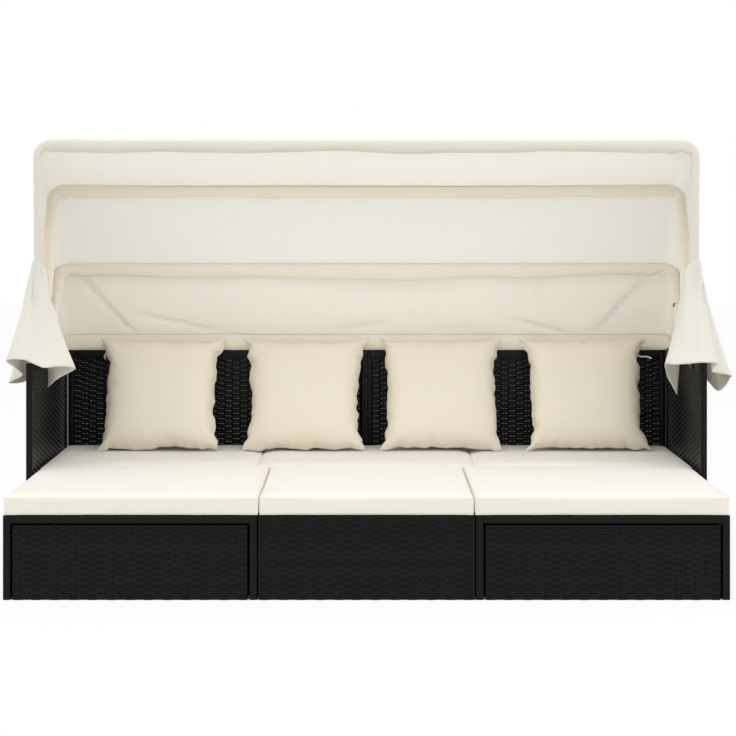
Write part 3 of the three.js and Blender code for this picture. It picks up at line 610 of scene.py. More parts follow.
def woven_panel(name, low, high, across, direction, body, nodes, tuck=0.002):
    """A woven field that fills a place in a panel and runs a little into its bars."""
    width = high[across] - low[across] + 2 * tuck
    height = high[2] - low[2] + 2 * tuck
    bm = woven_field(width, height, open_weave=OPEN_WEAVE)
    start = Vector(((low[0] + high[0]) / 2, (low[1] + high[1]) / 2, low[2] - tuck))
    start[across] = low[across] - tuck if direction in ("-Y", "+X") else high[across] + tuck
    piece = new_piece(name, facing(bm, direction, start), "wicker")
    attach(piece, body)
    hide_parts(*nodes)
    return piece


def make_lounge_panels():
    wicker = sizes("wicker")
    for side, sign in SIDES:
        low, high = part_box(f"{side}_arm_frame")
        bars = panel_bars(low, high, 1, wicker.band, wicker.top_band, wicker.band)
        piece = new_piece(f"{side}_arm_bands", gathered(bars), "wicker")
        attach(piece, "lounge")
        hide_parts(f"{side}_arm_frame")
        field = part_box(f"{side}_arm_weave")
        woven_panel(f"{side}_arm_field", *field, 1, "+X" if sign > 0 else "-X", "lounge", [f"{side}_arm_weave"])

        low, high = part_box(f"{side}_back_frame")
        # The strand round the posts fills most of the gaps beside the arm and between the two frames
        grown = (wicker.left_gap_fill, wicker.middle_gap_fill) if sign < 0 else (wicker.middle_gap_fill, wicker.right_gap_fill)
        low, high = low - Vector((grown[0], 0, 0)), high + Vector((grown[1], 0, 0))
        bars = panel_bars(low, high, 0, wicker.band, wicker.top_band, wicker.band)
        piece = new_piece(f"{side}_back_bands", gathered(bars), "wicker")
        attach(piece, "lounge")
        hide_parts(f"{side}_back_frame")
        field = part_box(f"{side}_back_weave")
        field[0].x -= grown[0]
        field[1].x += grown[1]
        woven_panel(f"{side}_back_field", *field, 0, "-Y", "lounge", [f"{side}_back_weave"])


def face_field(low, high, direction, segments=4, across=1):
    """A woven field on one face of a box, with its crests in that face's plane."""
    wicker = sizes("wicker")
    depth = wicker.weave_depth + 0.4 * wicker.strand_thickness
    if direction == "+Z":
        bm = woven_field(high[0] - low[0], high[1] - low[1], segments, across)
        return facing(bm, direction, (low[0], low[1], high[2] - depth))
    index = 0 if direction in ("+X", "-X") else 1
    width = high[1 - index] - low[1 - index]
    bm = woven_field(width, high[2] - low[2], segments, across)
    origin = Vector(low)
    origin[index] = high[index] - depth if direction[0] == "+" else low[index] + depth
    if direction in ("-X", "+Y"):
        origin[1 - index] = high[1 - index]
    return facing(bm, direction, origin)


def make_seat():
    """Woven apron and strap deck under the seat cushions."""
    wicker = sizes("wicker")
    low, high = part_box("seat_skin")
    apron = new_piece("seat_apron", face_field(low, high, "-Y", 4, 2), "wicker")
    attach(apron, "lounge")
    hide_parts("seat_skin")
    parts = []
    straps = round((high.x - low.x) / 0.05)
    pitch = (high.x - low.x) / straps
    for index in range(straps):
        left = low.x + index * pitch + 0.001
        strap = wrapped_bar(
            (left, low.y + 0.006, high.z - 0.0035), (left + pitch - 0.002, high.y, high.z - 0.0005), 1, 0.001
        )
        parts.append(strap)
    deck = new_piece("seat_straps", gathered(parts), "wicker")
    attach(deck, "lounge")
    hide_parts("seat_skin")


FLOOR_GAP = 0.0004


def make_middle_stool():
    low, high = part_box("middle_stool_skin")
    low.z = FLOOR_GAP
    edge, lip = 0.008, 0.005
    bars = []
    for x in (low.x, high.x - edge):
        for y in (low.y, high.y - edge):
            bars.append(wrapped_bar((x, y, low.z), (x + edge, y + edge, high.z), 2, 0.002))
    for y in (low.y, high.y - edge):
        bars.append(wrapped_bar((low.x + edge, y, high.z - lip), (high.x - edge, y + edge, high.z), 0, 0.0015))
    for x in (low.x, high.x - edge):
        bars.append(wrapped_bar((x, low.y + edge, high.z - lip), (x + edge, high.y - edge, high.z), 1, 0.0015))
    piece = new_piece("middle_stool_edges", gathered(bars), "wicker")
    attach(piece, "middle_stool")
    field_low = Vector((low.x + edge / 2, low.y + 0.0004, low.z))
    field_high = Vector((high.x - edge / 2, high.y - 0.0004, high.z - lip * 0.8))
    front = new_piece("middle_stool_front", face_field(field_low, field_high, "-Y", 5, 2), "wicker")
    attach(front, "middle_stool")
    side_low = Vector((low.x + 0.0004, low.y + edge / 2, low.z))
    side_high = Vector((high.x - 0.0004, high.y - edge / 2, high.z - lip * 0.8))
    parts = [
        face_field(side_low, side_high, "-X"),
        face_field(side_low, side_high, "+X"),
        face_field(field_low, field_high, "+Y"),
    ]
    sides = new_piece("middle_stool_sides", gathered(parts), "wicker")
    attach(sides, "middle_stool")
    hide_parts("middle_stool_skin")


def make_side_stools():
    """Side footstools: wrapped posts and top bars round woven sides, open at the front."""
    band = 0.021
    for side, sign in SIDES:
        low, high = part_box(f"{side}_stool_outer_skin")
        low.z = FLOOR_GAP
        body = f"{side}_stool"
        bars = []
        for x in (low.x, high.x - band):
            for y in (low.y, high.y - band):
                bars.append(wrapped_bar((x, y, low.z), (x + band, y + band, high.z), 2))
            bars.append(wrapped_bar((x, low.y + band, high.z - band), (x + band, high.y - band, high.z), 1))
        for y in (low.y, high.y - band):
            bars.append(wrapped_bar((low.x + band, y, high.z - band), (high.x - band, y + band, high.z), 0))
        piece = new_piece(f"{side}_stool_bands", gathered(bars), "wicker")
        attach(piece, body)
        tuck = 0.002
        field_low = Vector((low.x + 0.0015, low.y + band - tuck, low.z))
        field_high = Vector((high.x - 0.0015, high.y - band + tuck, high.z - band + tuck))
        outer, inner = ("+X", "-X") if sign > 0 else ("-X", "+X")
        field = new_piece(f"{side}_stool_outer_side", face_field(field_low, field_high, outer, 5, 2), "wicker")
        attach(field, body)
        rear_low = Vector((low.x + band - tuck, low.y, low.z))
        rear_high = Vector((high.x - band + tuck, high.y - 0.0015, high.z - band + tuck))
        parts = [face_field(field_low, field_high, inner), face_field(rear_low, rear_high, "+Y")]
        rest = new_piece(f"{side}_stool_inner_side_and_rear", gathered(parts), "wicker")
        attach(rest, body)
        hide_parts(f"{side}_stool_outer_skin")


def make_nested_stools():
    for side, sign in SIDES:
        low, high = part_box(f"{side}_nested_stool_skin")
        low.z = FLOOR_GAP
        body = f"{side}_nested_stool"
        front = new_piece(f"{side}_nested_stool_front", face_field(low, high, "-Y", 5, 2), "wicker")
        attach(front, body)
        shrunk_low = Vector((low.x, low.y + 0.006, low.z))
        shrunk_high = Vector((high.x, high.y - 0.002, high.z - 0.005))
        parts = [face_field(shrunk_low, shrunk_high, "-X"), face_field(shrunk_low, shrunk_high, "+X")]
        sides = new_piece(f"{side}_nested_stool_sides", gathered(parts), "wicker")
        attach(sides, body)
        top_low = Vector((low.x + 0.003, low.y + 0.006, low.z))
        top_high = Vector((high.x - 0.003, high.y, high.z))
        top = new_piece(f"{side}_nested_stool_top", face_field(top_low, top_high, "+Z"), "wicker")
        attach(top, body)
        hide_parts(f"{side}_nested_stool_skin")


# Padded pieces


def grid_box(low, high, cell):
    """A closed box of near-square cells."""
    size = Vector(high) - Vector(low)
    counts = [max(2, round(value / cell)) for value in size]
    bm = bmesh.new()
    middle = (Vector(low) + Vector(high)) / 2
    place = Matrix.Translation((middle.x, middle.y, low[2])) @ Matrix.Diagonal((size.x, size.y, 1, 1))
    bmesh.ops.create_grid(bm, x_segments=counts[0], y_segments=counts[1], size=0.5, matrix=place)
    made = bmesh.ops.extrude_face_region(bm, geom=bm.faces[:], use_keep_orig=True)
    tops = [item for item in made["geom"] if isinstance(item, bmesh.types.BMVert)]
    bmesh.ops.translate(bm, verts=tops, vec=(0, 0, size.z))
    upright = [edge for edge in bm.edges if abs(edge.verts[0].co.z - edge.verts[1].co.z) > size.z / 2]
    bmesh.ops.subdivide_edges(bm, edges=upright, cuts=counts[2] - 1, use_grid_fill=True)
    bmesh.ops.recalc_face_normals(bm, faces=bm.faces[:])
    return bm


def inflate(piece, pressure, frames, stiffness=25, bending=2.0, shrink=0.0):
    """Blows a closed cover up with cloth physics, without weight, and returns where its points went."""
    modifier = piece.modifiers.new("Cloth", "CLOTH")
    cloth = modifier.settings
    cloth.quality = 6
    cloth.mass = 0.25
    cloth.tension_stiffness = stiffness
    cloth.compression_stiffness = stiffness
    cloth.shear_stiffness = stiffness / 3
    cloth.bending_stiffness = bending
    cloth.use_pressure = True
    cloth.uniform_pressure_force = pressure
    cloth.shrink_min = shrink
    cloth.effector_weights.gravity = 0
    cloth.air_damping = 2
    modifier.point_cache.frame_start = 1
    modifier.point_cache.frame_end = frames
    scene = bpy.context.scene
    for step in range(1, frames + 1):
        scene.frame_set(step)
    graph = bpy.context.evaluated_depsgraph_get()
    moved = [vert.co.copy() for vert in piece.evaluated_get(graph).data.vertices]
    piece.modifiers.remove(modifier)
    scene.frame_set(1)
    return moved


def limited(move, most):
    """A move that can grow to a cap and no further."""
    size = move.length
    return move if size < 1e-9 else move * (most * math.tanh(size / most) / size)


def finish_padded(piece, levels=1):
    piece.modifiers.new("Smooth", "SUBSURF")
    piece.modifiers["Smooth"].levels = levels
    piece.modifiers["Smooth"].render_levels = levels
    apply_modifiers(piece)
    piece.data.shade_smooth()


def seam_loop(name, points, radius, slot, body):
    """A turned seam: a thin closed cord of cloth along the points given."""
    curve = bpy.data.curves.new(name, "CURVE")
    curve.dimensions = "3D"
    spline = curve.splines.new("POLY")
    spline.points.add(len(points) - 1)
    for point, co in zip(spline.points, points):
        point.co = (*co, 1)
    spline.use_cyclic_u = True
    curve.bevel_depth = radius
    curve.bevel_resolution = 1
    source = bpy.data.objects.new(name + "_line", curve)
    bpy.context.scene.collection.objects.link(source)
    mesh = bpy.data.meshes.new_from_object(source.evaluated_get(bpy.context.evaluated_depsgraph_get()))
    bpy.data.objects.remove(source)
    bpy.data.curves.remove(curve)
    mesh.materials.append(finish(slot))
    mesh.shade_smooth()
    piece = bpy.data.objects.new(name, mesh)
    bpy.context.scene.collection.objects.link(piece)
    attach(piece, body)
    return piece


def rim_points(piece, level, tolerance):
    """Points of a box cushion's rim near one height, in order round it."""
    mesh = piece.data
    chosen = [vert.co.copy() for vert in mesh.vertices if vert.index in level]
    middle = sum(chosen, Vector()) / len(chosen)
    chosen.sort(key=lambda co: math.atan2(co.y - middle.y, co.x - middle.x))
    return chosen


def box_cushion(name, body, seed):
    """A foam box cushion in a sewn cover: crowned top, sides that draw in, turned seams round both faces."""
    cushions = sizes("cushions")
    low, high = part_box(name)
    # The covers swell until they nearly touch; the outer ones have no neighbour on one side
    if not name.startswith("left"):
        low.x -= cushions.side_growth
    if not name.startswith("right"):
        high.x += cushions.side_growth
    inset = cushions.inset
    start_low = Vector((low.x + inset, low.y + inset, low.z + 0.0005))
    start_high = Vector((high.x - inset, high.y - inset, high.z - cushions.crown))
    bm = grid_box(start_low, start_high, cushions.cell)
    rims = {}
    for height, rim in ((start_low.z, "bottom"), (start_high.z, "top")):
        on_side = []
        for vert in bm.verts:
            edge = min(vert.co.x - start_low.x, start_high.x - vert.co.x, vert.co.y - start_low.y, start_high.y - vert.co.y)
            if abs(vert.co.z - height) < 1e-5 and edge < 1e-5:
                on_side.append(vert)
        rims[rim] = on_side
    bm.verts.index_update()
    rim_index = {rim: [vert.index for vert in verts] for rim, verts in rims.items()}
    piece = new_piece(name + "_cover", bm, "cushion_cloth", 180)
    moved = inflate(piece, 1.2, 14, 30, 4)
    for vert, place in zip(piece.data.vertices, moved):
        move = limited(place - vert.co, cushions.crown)
        vert.co += Vector((0.3 * move.x, 0.3 * move.y, move.z))
    random_shift = Vector((seed * 3.7, seed * 1.9, 0))
    for vert in piece.data.vertices:
        co = vert.co
        x = 2 * (co.x - start_low.x) / (start_high.x - start_low.x) - 1
        y = 2 * (co.y - start_low.y) / (start_high.y - start_low.y) - 1
        up = (co.z - start_low.z) / (start_high.z - start_low.z)
        # Soft hollows and rises over the whole top, and small puckers along the seams
        if up > 0.5:
            co.z += 0.0022 * noise.noise(co * 5.5 + random_shift)
            edge = max(abs(x), abs(y))
            if edge > 0.86:
                co.z += 0.0009 * noise.noise(co * 55 + random_shift) * (edge - 0.86) / 0.14
        # The lower front corners are rounder than the rest
        if up < 0.5 and abs(x) > 0.999 and co.y < start_low.y + 0.02:
            co.x -= math.copysign(0.007 * (1 - 2 * up), x)
        co.x = min(max(co.x, low.x + 0.0006), high.x - 0.0006)
        co.y = min(max(co.y, low.y + 0.0006), high.y - 0.0006)
        co.z = max(co.z, low.z)
    loops = {}
    for rim, indices in rim_index.items():
        chosen = [piece.data.vertices[index].co.copy() for index in indices]
        middle = sum(chosen, Vector()) / len(chosen)
        chosen.sort(key=lambda co: math.atan2(co.y - middle.y, co.x - middle.x))
        loops[rim] = chosen
    finish_padded(piece)
    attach(piece, body)
    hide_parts(name)
    for rim, points in loops.items():
        pulled = []
        for co in points:
            inward = Vector(((low.x + high.x) / 2 - co.x, (low.y + high.y) / 2 - co.y, 0)).normalized()
            shift = 0.0022 if rim == "top" else -0.0022
            pulled.append(co + inward * 0.0028 - Vector((0, 0, shift)))
        seam_loop(f"{name}_{rim}_seam", pulled, cushions.seam_radius, "cushion_cloth", body)
    return piece


def make_cushions():
    for seed, place in enumerate(("left", "middle", "right")):
        box_cushion(f"{place}_seat_cushion", "lounge", seed)
        box_cushion(f"{place}_stool_cushion", f"{place}_stool", seed + 5)


def throw_pillow(name, seed):
    """A fibre-filled pillow in a square cover: full in the middle, with drawn sides and pointed corners."""
    cushions = sizes("cushions")
    low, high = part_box(name)
    half, draw = cushions.pillow_cut / 2, cushions.pillow_draw
    bm = grid_box((-half, -half, -0.003), (half, half, 0.003), 0.0095)
    shift = Vector((seed * 5.3, 0, seed))
    for vert in bm.verts:
        co = vert.co.copy()
        x, y = co.x / half, co.y / half
        vert.co.z += math.copysign(cushions.pillow_depth * math.sqrt((1 - x**4) * (1 - y**4)), co.z)
        # Sides draw in close behind the corners, the foot least, where the pillow stands on it
        foot = 0.35 if y < 0 else 0.6
        vert.co.x -= draw * x * (1 - abs(y) ** 5)
        vert.co.y -= draw * foot * y * (1 - abs(x) ** 5)
        # Puckers along the seam, deepest next to the corners, that fade out into the face
        edge = max(abs(x), abs(y)) ** 9
        corner = min(abs(x), abs(y)) ** 2
        pucker = noise.noise_vector(co * 40 + shift) * (0.0075 + 0.0070 * corner) * edge
        slack = noise.noise_vector(co * 13 + shift) * 0.0080 * edge
        vert.co += Vector((pucker.x + slack.x, pucker.y + slack.y, 0))
        fold = noise.noise(Vector((math.atan2(y, x) * 9, edge * 2, seed))) * max(abs(x), abs(y)) ** 4
        vert.co.z += math.copysign(0.0058 * fold * math.sqrt(max(0, (1 - x**8) * (1 - y**8))), co.z)
        vert.co.z += 0.0016 * noise.noise(co * 9 + shift)
        # It stands slumped, with its upper corners spread
        vert.co.x *= 1 + 0.035 * max(0, y)
        vert.co.y *= 0.967
    piece = new_piece(name + "_cover", bm, "pillow_cloth", 180)
    for vert, place in zip(piece.data.vertices, inflate(piece, 1.6, 10, 14, 0.3, -0.02)):
        vert.co += limited(place - vert.co, 0.006)
    turn = Matrix.Rotation(-cushions.pillow_lean, 4, "X") @ Matrix.Rotation(math.pi / 2, 4, "X")
    piece.data.transform(turn)
    finish_padded(piece)
    xs = [vert.co.x for vert in piece.data.vertices]
    ys = [vert.co.y for vert in piece.data.vertices]
    zs = [vert.co.z for vert in piece.data.vertices]
    shift = Vector(((low.x + high.x - min(xs) - max(xs)) / 2, high.y - max(ys), low.z - min(zs)))
    piece.data.transform(Matrix.Translation(shift))
    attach(piece, "lounge")
    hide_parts(name)
    return piece


def make_pillows():
    for seed, name in enumerate(("far_left", "near_left", "near_right", "far_right")):
        throw_pillow(f"{name}_pillow", seed + 1)


# Canopy cloth


def canopy_ribs():
    """Where the hoops' top bars and the rail lie, seen from the side: places back and up from the bolt."""
    canopy = sizes("canopy")
    places = {"rail": Vector((RAIL.y - PIVOT.y, RAIL.z - PIVOT.z))}
    for name in ("front", "middle", "rear"):
        low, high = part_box(f"{name}_hoop")
        y = low.y + canopy.tube if name == "front" else high.y - canopy.tube
        places[name] = Vector((y - PIVOT.y, high.z - canopy.tube - PIVOT.z))
    return places


# Grid columns of the legs, the corners and the top of a hoop-shaped line
LEG_COLUMNS, CORNER_COLUMNS, TOP_COLUMNS = 16, 8, 120
ALL_COLUMNS = 2 * (LEG_COLUMNS + CORNER_COLUMNS) + TOP_COLUMNS
CLOTH_FOOT = 0.036


def leg_line(name):
    """A function that gives how far from the middle a hoop's leg is, at a height up the hoop."""
    canopy = sizes("canopy")
    half, start = canopy.half_width, canopy.straight_foot
    top = canopy_ribs()[name].length - canopy.corner
    # The hubs lie side by side inside the bracket
    hub = half
    if name != "front":
        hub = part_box("right_pivot_bracket")[0].x - canopy.hub * (0.5 if name == "middle" else 1.5)
    return lambda up: hub + (half - hub) * max(0, (up - start) / (top - start))


def hoop_line(share, half, reach, corner, foot, foot_half=None):
    """A place on a hoop-shaped line as (across, up), and the direction away from the hoop's middle.

    Where the legs lean, the line has another half width at the foot.
    """
    column = share * ALL_COLUMNS
    sign = 1 if column <= ALL_COLUMNS / 2 else -1
    column = min(column, ALL_COLUMNS - column)
    if column <= LEG_COLUMNS:
        climb = column / LEG_COLUMNS
        across = half if foot_half is None else foot_half + (half - foot_half) * climb
        return Vector((sign * across, foot + (reach - corner - foot) * climb)), Vector((sign, 0))
    column -= LEG_COLUMNS
    if column <= CORNER_COLUMNS:
        angle = math.pi / 2 * column / CORNER_COLUMNS
        out = Vector((math.cos(angle), math.sin(angle)))
        place = Vector((half - corner, reach - corner)) + out * corner
        return Vector((sign * place.x, place.y)), Vector((sign * out.x, out.y))
    column -= CORNER_COLUMNS
    across = (half - corner) * (1 - column / (TOP_COLUMNS / 2))
    return Vector((sign * across, reach)), Vector((0, 1))


def crease(x, t, start, end, width, height):
    """Height of a soft straight fold between two places on a panel, at a place."""
    a, b, p = Vector(start), Vector(end), Vector((x, t))
    scale = Vector((1, 0.27))
    a, b, p = a * scale, b * scale, p * scale
    along = b - a
    share = (p - a).dot(along) / along.length_squared
    if share < -0.15 or share > 1.15:
        return 0
    off = (p - a - along * share).length
    fade = min(1, max(0, (share + 0.15) / 0.3)) * min(1, max(0, (1.15 - share) / 0.3))
    return height * math.exp(-((off / width) ** 2)) * fade


def cloth_sheet(name, columns, rows, place, size, slot="canopy_cloth", thickness=None):
    """A sheet of cloth on a grid, with its own UV in metres and a real thickness."""
    bm = bmesh.new()
    bmesh.ops.create_grid(bm, x_segments=columns, y_segments=rows, size=0.5)
    set_uv(bm, "cloth", lambda co: ((co.x + 0.5) * size[0], (co.y + 0.5) * size[1]))
    for vert in bm.verts:
        vert.co = place(vert.co.x + 0.5, vert.co.y + 0.5)
    piece = new_piece(name, bm, slot, 180)
    solid = piece.modifiers.new("Thickness", "SOLIDIFY")
    solid.thickness = thickness or sizes("canopy").cloth
    solid.offset = 0
    apply_modifiers(piece)
    return piece


class Span:
    """The canopy's surface between two ribs, from the one behind to the one in front."""

    def __init__(self, low, high, normal, corners, sag, folds, seed):
        canopy = sizes("canopy")
        offset = canopy.tube + canopy.fit
        self.half = canopy.half_width + offset
        self.corners = [corner + offset for corner in corners]
        self.low, self.high, self.normal = low, high, normal
        self.deep = (high - low).length
        self.sag, self.folds, self.seed = sag, folds, seed

    def place(self, u, t, proud=0.0):
        """A point of the cloth: u runs round from the right foot to the left, and t from rear to front."""
        line = self.low.lerp(self.high, t)
        reach, radial = line.length, line.normalized()
        corner = self.corners[0] * (1 - t) + self.corners[1] * t
        at, out = hoop_line(u, self.half, reach, corner, CLOTH_FOOT)
        across = at.x / self.half
        bow = math.sin(math.pi * t)
        sink = self.sag * bow * out.y * (1 - 0.75 * abs(across) ** 3)
        sink += 0.006 * bow * (1 - out.y) * at.y / reach
        ripple = noise.noise(Vector((at.x * 2.6, t * 1.6 + self.seed, self.seed))) * 0.005
        ripple += noise.noise(Vector((at.x * 9, t * 3 + self.seed, 7 + self.seed))) * 0.0016
        if out.y > 0.5:
            ripple += sum(crease(at.x, t, *fold) for fold in self.folds)
        away = ripple * min(1, 6 * t * (1 - t)) - sink + proud
        base = Vector((at.x + out.x * away, radial.x * at.y, radial.y * at.y))
        return PIVOT + base + Vector((0, self.normal.x, self.normal.y)) * (out.y * away)

    def beside(self, u, up, rib, t, proud):
        """The cloth's point beside a hoop's own point, whose legs may start elsewhere."""
        column = min(u * ALL_COLUMNS, (1 - u) * ALL_COLUMNS)
        if column < LEG_COLUMNS:
            top = rib.length - sizes("canopy").corner
            column = LEG_COLUMNS * (up - CLOTH_FOOT) / (top - CLOTH_FOOT)
            u = column / ALL_COLUMNS if u < 0.5 else 1 - column / ALL_COLUMNS
        return self.place(u, t, proud)


# Soft folds: from (across, share of the depth) to (across, share of the depth), width and height
REAR_FOLDS = (
    ((-0.93, 0.9), (-0.755, 0.08), 0.0050, 0.0140),
    ((0.91, 0.9), (0.735, 0.06), 0.0050, 0.0140),
    ((-0.72, 0.34), (-0.42, 0.08), 0.008, 0.0135),
    ((-0.62, 0.16), (-0.36, 0.04), 0.006, 0.008),
    ((-0.1, 0.14), (0.06, 0.26), 0.008, 0.0085),
    ((0.48, 0.3), (0.66, 0.1), 0.0075, 0.0135),
    ((0.56, 0.75), (0.6, 0.2), 0.014, 0.006),
    ((0.2, 0.12), (0.34, 0.2), 0.010, 0.006),
)
MIDDLE_FOLDS = (
    ((-0.93, 0.95), (-0.6, 0.62), 0.012, 0.002),
    ((0.93, 0.95), (0.6, 0.6), 0.012, 0.002),
)
FRONT_FOLDS = (
    ((-0.92, 0.12), (-0.66, 0.6), 0.014, 0.002),
    ((0.92, 0.12), (0.66, 0.6), 0.014, 0.002),
)


def canopy_spans():
    """The three spans of cloth. Two spans meet in one seam over the tube between them."""
    canopy, ribs = sizes("canopy"), canopy_ribs()
    offset = canopy.tube + canopy.fit
    line = [ribs[name] for name in ("rail", "rear", "middle", "front")]
    runs = [(ahead - behind).normalized() for behind, ahead in zip(line, line[1:])]
    normals = [Vector((run.y, -run.x)) for run in runs]
    edges = [line[0] + normals[0] * offset]
    for rib, before, after in zip(line[1:], normals, normals[1:]):
        middle = (before + after).normalized()
        edges.append(rib + middle * (offset / middle.dot(before)))
    edges.append(line[-1] + normals[-1] * offset)
    corners = canopy.rail_corner, canopy.corner, canopy.corner, canopy.corner
    kinds = (("rear", 0.6, REAR_FOLDS, 0), ("middle", 1.0, MIDDLE_FOLDS, 3.1), ("front", 0.9, FRONT_FOLDS, 6.2))
    return {
        name: Span(edges[i], edges[i + 1], normals[i], corners[i : i + 2], canopy.sag * sag, folds, seed)
        for i, (name, sag, folds, seed) in enumerate(kinds)
    }


def blend_across(piece, rear_body, rear, front):
    """Bakes a cloth's transform into its mesh."""
    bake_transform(piece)


def make_canopy_panels():
    canopy = sizes("canopy")
    ribs, spans = canopy_ribs(), canopy_spans()
    for name, behind, rear_body in (("rear", "rail", "lounge"), ("middle", "rear", "rear_hoop"), ("front", "middle", "middle_hoop")):
        span = spans[name]
        around = 2 * (canopy.half_width + (ribs[behind].length + ribs[name].length) / 2) - 0.1
        slot = "canopy_cloth_shaded" if name == "rear" else "canopy_cloth"
        piece = cloth_sheet(f"{name}_canopy_cloth", ALL_COLUMNS, 28, span.place, (around, span.deep), slot)
        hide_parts(f"{name}_canopy_panel")
        blend_across(piece, rear_body, ribs[behind], ribs[name])


def tunnel(name, hoop, foot, stations, growth, first, last, seed, slot="canopy_doubled_and_shaded_cloth"):
    """A cloth tunnel sewn round a hoop's tube, from one line of stitches on the canopy to another.

    Each station is a place behind and below the tube's middle. Growth is how much of the depth below
    the tube the cloth has at a leg's foot and per metre up the leg, at the ends of the top bar and in
    the middle of it.
    """
    canopy, rib, body = sizes("canopy"), canopy_ribs()[hoop], f"{hoop}_hoop"
    foot_half = leg_line(hoop)(foot)
    tilt = math.atan2(rib.x, rib.y)
    radial = Vector((0, math.sin(tilt), math.cos(tilt)))
    behind = Vector((0, math.cos(tilt), -math.sin(tilt)))

    def place(u, v):
        at, out = hoop_line(u, canopy.half_width, rib.length, canopy.corner, foot, foot_half)
        middle = 1 - (at.x / canopy.half_width) ** 2
        on_leg = growth[0] + growth[1] * (at.y - foot)
        grown = on_leg + (growth[2] - on_leg) * out.y + (growth[3] - growth[2]) * middle * out.y
        rearward = behind.lerp(Vector((0, 1, 0)), out.y).normalized()
        inward = Vector((-out.x, 0, -out.y))
        centre = PIVOT + Vector((at.x, 0, 0)) + radial * at.y
        bunch = math.exp(-(((abs(at.x) - canopy.half_width) / 0.09) ** 2)) * out.y
        ring = [first(u, at, middle * out.y)]
        for index, (back, down) in enumerate(stations):
            if down > canopy.tube:
                down = canopy.tube + (down - canopy.tube) * grown
                down += 0.0085 * noise.noise(Vector((at.x * 4.5, at.y * 6, seed)))
                down += (0.0018 + 0.0180 * bunch) * noise.noise(Vector((at.x * (9 + 34 * bunch), seed, index * 0.35)))
                back += (0.0013 + 0.0110 * bunch) * noise.noise(Vector((at.x * (11 + 32 * bunch), seed + 5, index * 0.3)))
            elif down < 0:
                down *= 0.8 + 0.2 * out.y
            ring.append(centre + rearward * back + inward * down)
        ring.append(last(u, at, middle * out.y))
        position = v * (len(ring) - 1)
        index = min(int(position), len(ring) - 2)
        return ring[index].lerp(ring[index + 1], position - index)

    around = 2 * (canopy.half_width + rib.length - foot)
    rings = len(stations) + 1
    piece = cloth_sheet(name, ALL_COLUMNS, rings, place, (around, 0.1), slot)
    smooth = piece.modifiers.new("Smooth", "SUBSURF")
    smooth.levels = smooth.render_levels = 1
    apply_modifiers(piece)
    piece.data.shade_smooth()
    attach(piece, body)
    return piece


def leg_tunnel(hoop, side, sign, high, low=0.024):
    """The close lower end of a tunnel, round one leg of a hoop."""
    canopy, rib = sizes("canopy"), canopy_ribs()[hoop]
    tilt = math.atan2(rib.x, rib.y)
    radial = Vector((0, math.sin(tilt), math.cos(tilt)))
    behind = Vector((0, math.cos(tilt), -math.sin(tilt)))
    radius = canopy.tube + 0.0003
    across = leg_line(hoop)

    def place(u, v):
        up = low + (high - low) * v
        angle = math.tau * u
        centre = PIVOT + Vector((across(up), 0, 0)) + radial * up
        co = centre + Vector((radius * math.cos(angle), 0, 0)) + behind * (radius * math.sin(angle))
        co.x *= sign
        return co

    flat = (math.tau * radius, high - low)
    piece = cloth_sheet(f"{side}_{hoop}_leg_tunnel", 20, 12, place, flat, "canopy_doubled_and_shaded_cloth", 0.0004)
    if sign < 0:
        piece.data.flip_normals()
    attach(piece, f"{hoop}_hoop")


def make_sleeves():
    ribs, spans = canopy_ribs(), canopy_spans()
    # The sleeves hang open under the tubes of the middle and rear hoops
    over = {"middle": ((-0.0085, -0.0088),), "rear": ((0.0010, -0.0118), (-0.0078, -0.0092))}
    pouch = (
        (-0.0118, 0.0000),
        (-0.0120, 0.0105),
        (-0.0096, 0.0180),
        (-0.0030, 0.0235),
        (0.0040, 0.0222),
        (0.0088, 0.0150),
    )
    for name, ahead, foot, reach, growth, seed in (
        ("middle", "front", 0.17, (0.018, 0.006), (0.0, 2.9, 0.85, 1.45), 1.3),
        ("rear", "middle", 0.222, (0.010, 0.003), (0.0, 8.0, 1.2, 2.1), 4.7),
    ):
        front, rear = spans[ahead], spans[name]

        def first(u, at, middle, name=name, front=front, reach=reach):
            along = reach[0] + (reach[1] - reach[0]) * middle
            return front.beside(u, at.y, ribs[name], along / front.deep, -0.0003)

        def last(u, at, middle, name=name, rear=rear):
            return rear.beside(u, at.y, ribs[name], 1 - 0.016 / rear.deep, -0.0003)

        tunnel(f"{name}_hoop_sleeve", name, foot, over[name] + pouch, growth, first, last, seed)
    # The front hem goes right round its hoop
    hem = (
        (0.0058, -0.0106),
        (-0.0010, -0.0122),
        (-0.0082, -0.0096),
        (-0.0118, -0.0020),
        (-0.0124, 0.0080),
        (-0.0110, 0.0180),
        (-0.0045, 0.0245),
        (0.0040, 0.0225),
        (0.0092, 0.0130),
    )
    front = spans["front"]

    def outside(u, at, middle):
        return front.beside(u, at.y, ribs["front"], 1 - 0.022 / front.deep, 0.0008)

    def inside(u, at, middle):
        return front.beside(u, at.y, ribs["front"], 1 - 0.020 / front.deep, -0.0008)

    tunnel("front_hem", "front", 0.2, hem, (0.5, 0, 1.5, 1.45), outside, inside, 8.1, "canopy_front_hem_shaded_cloth")
    for side, sign in SIDES:
        leg_tunnel("rear", side, sign, 0.24)
        leg_tunnel("middle", side, sign, 0.205)
        leg_tunnel("front", side, sign, 0.21)


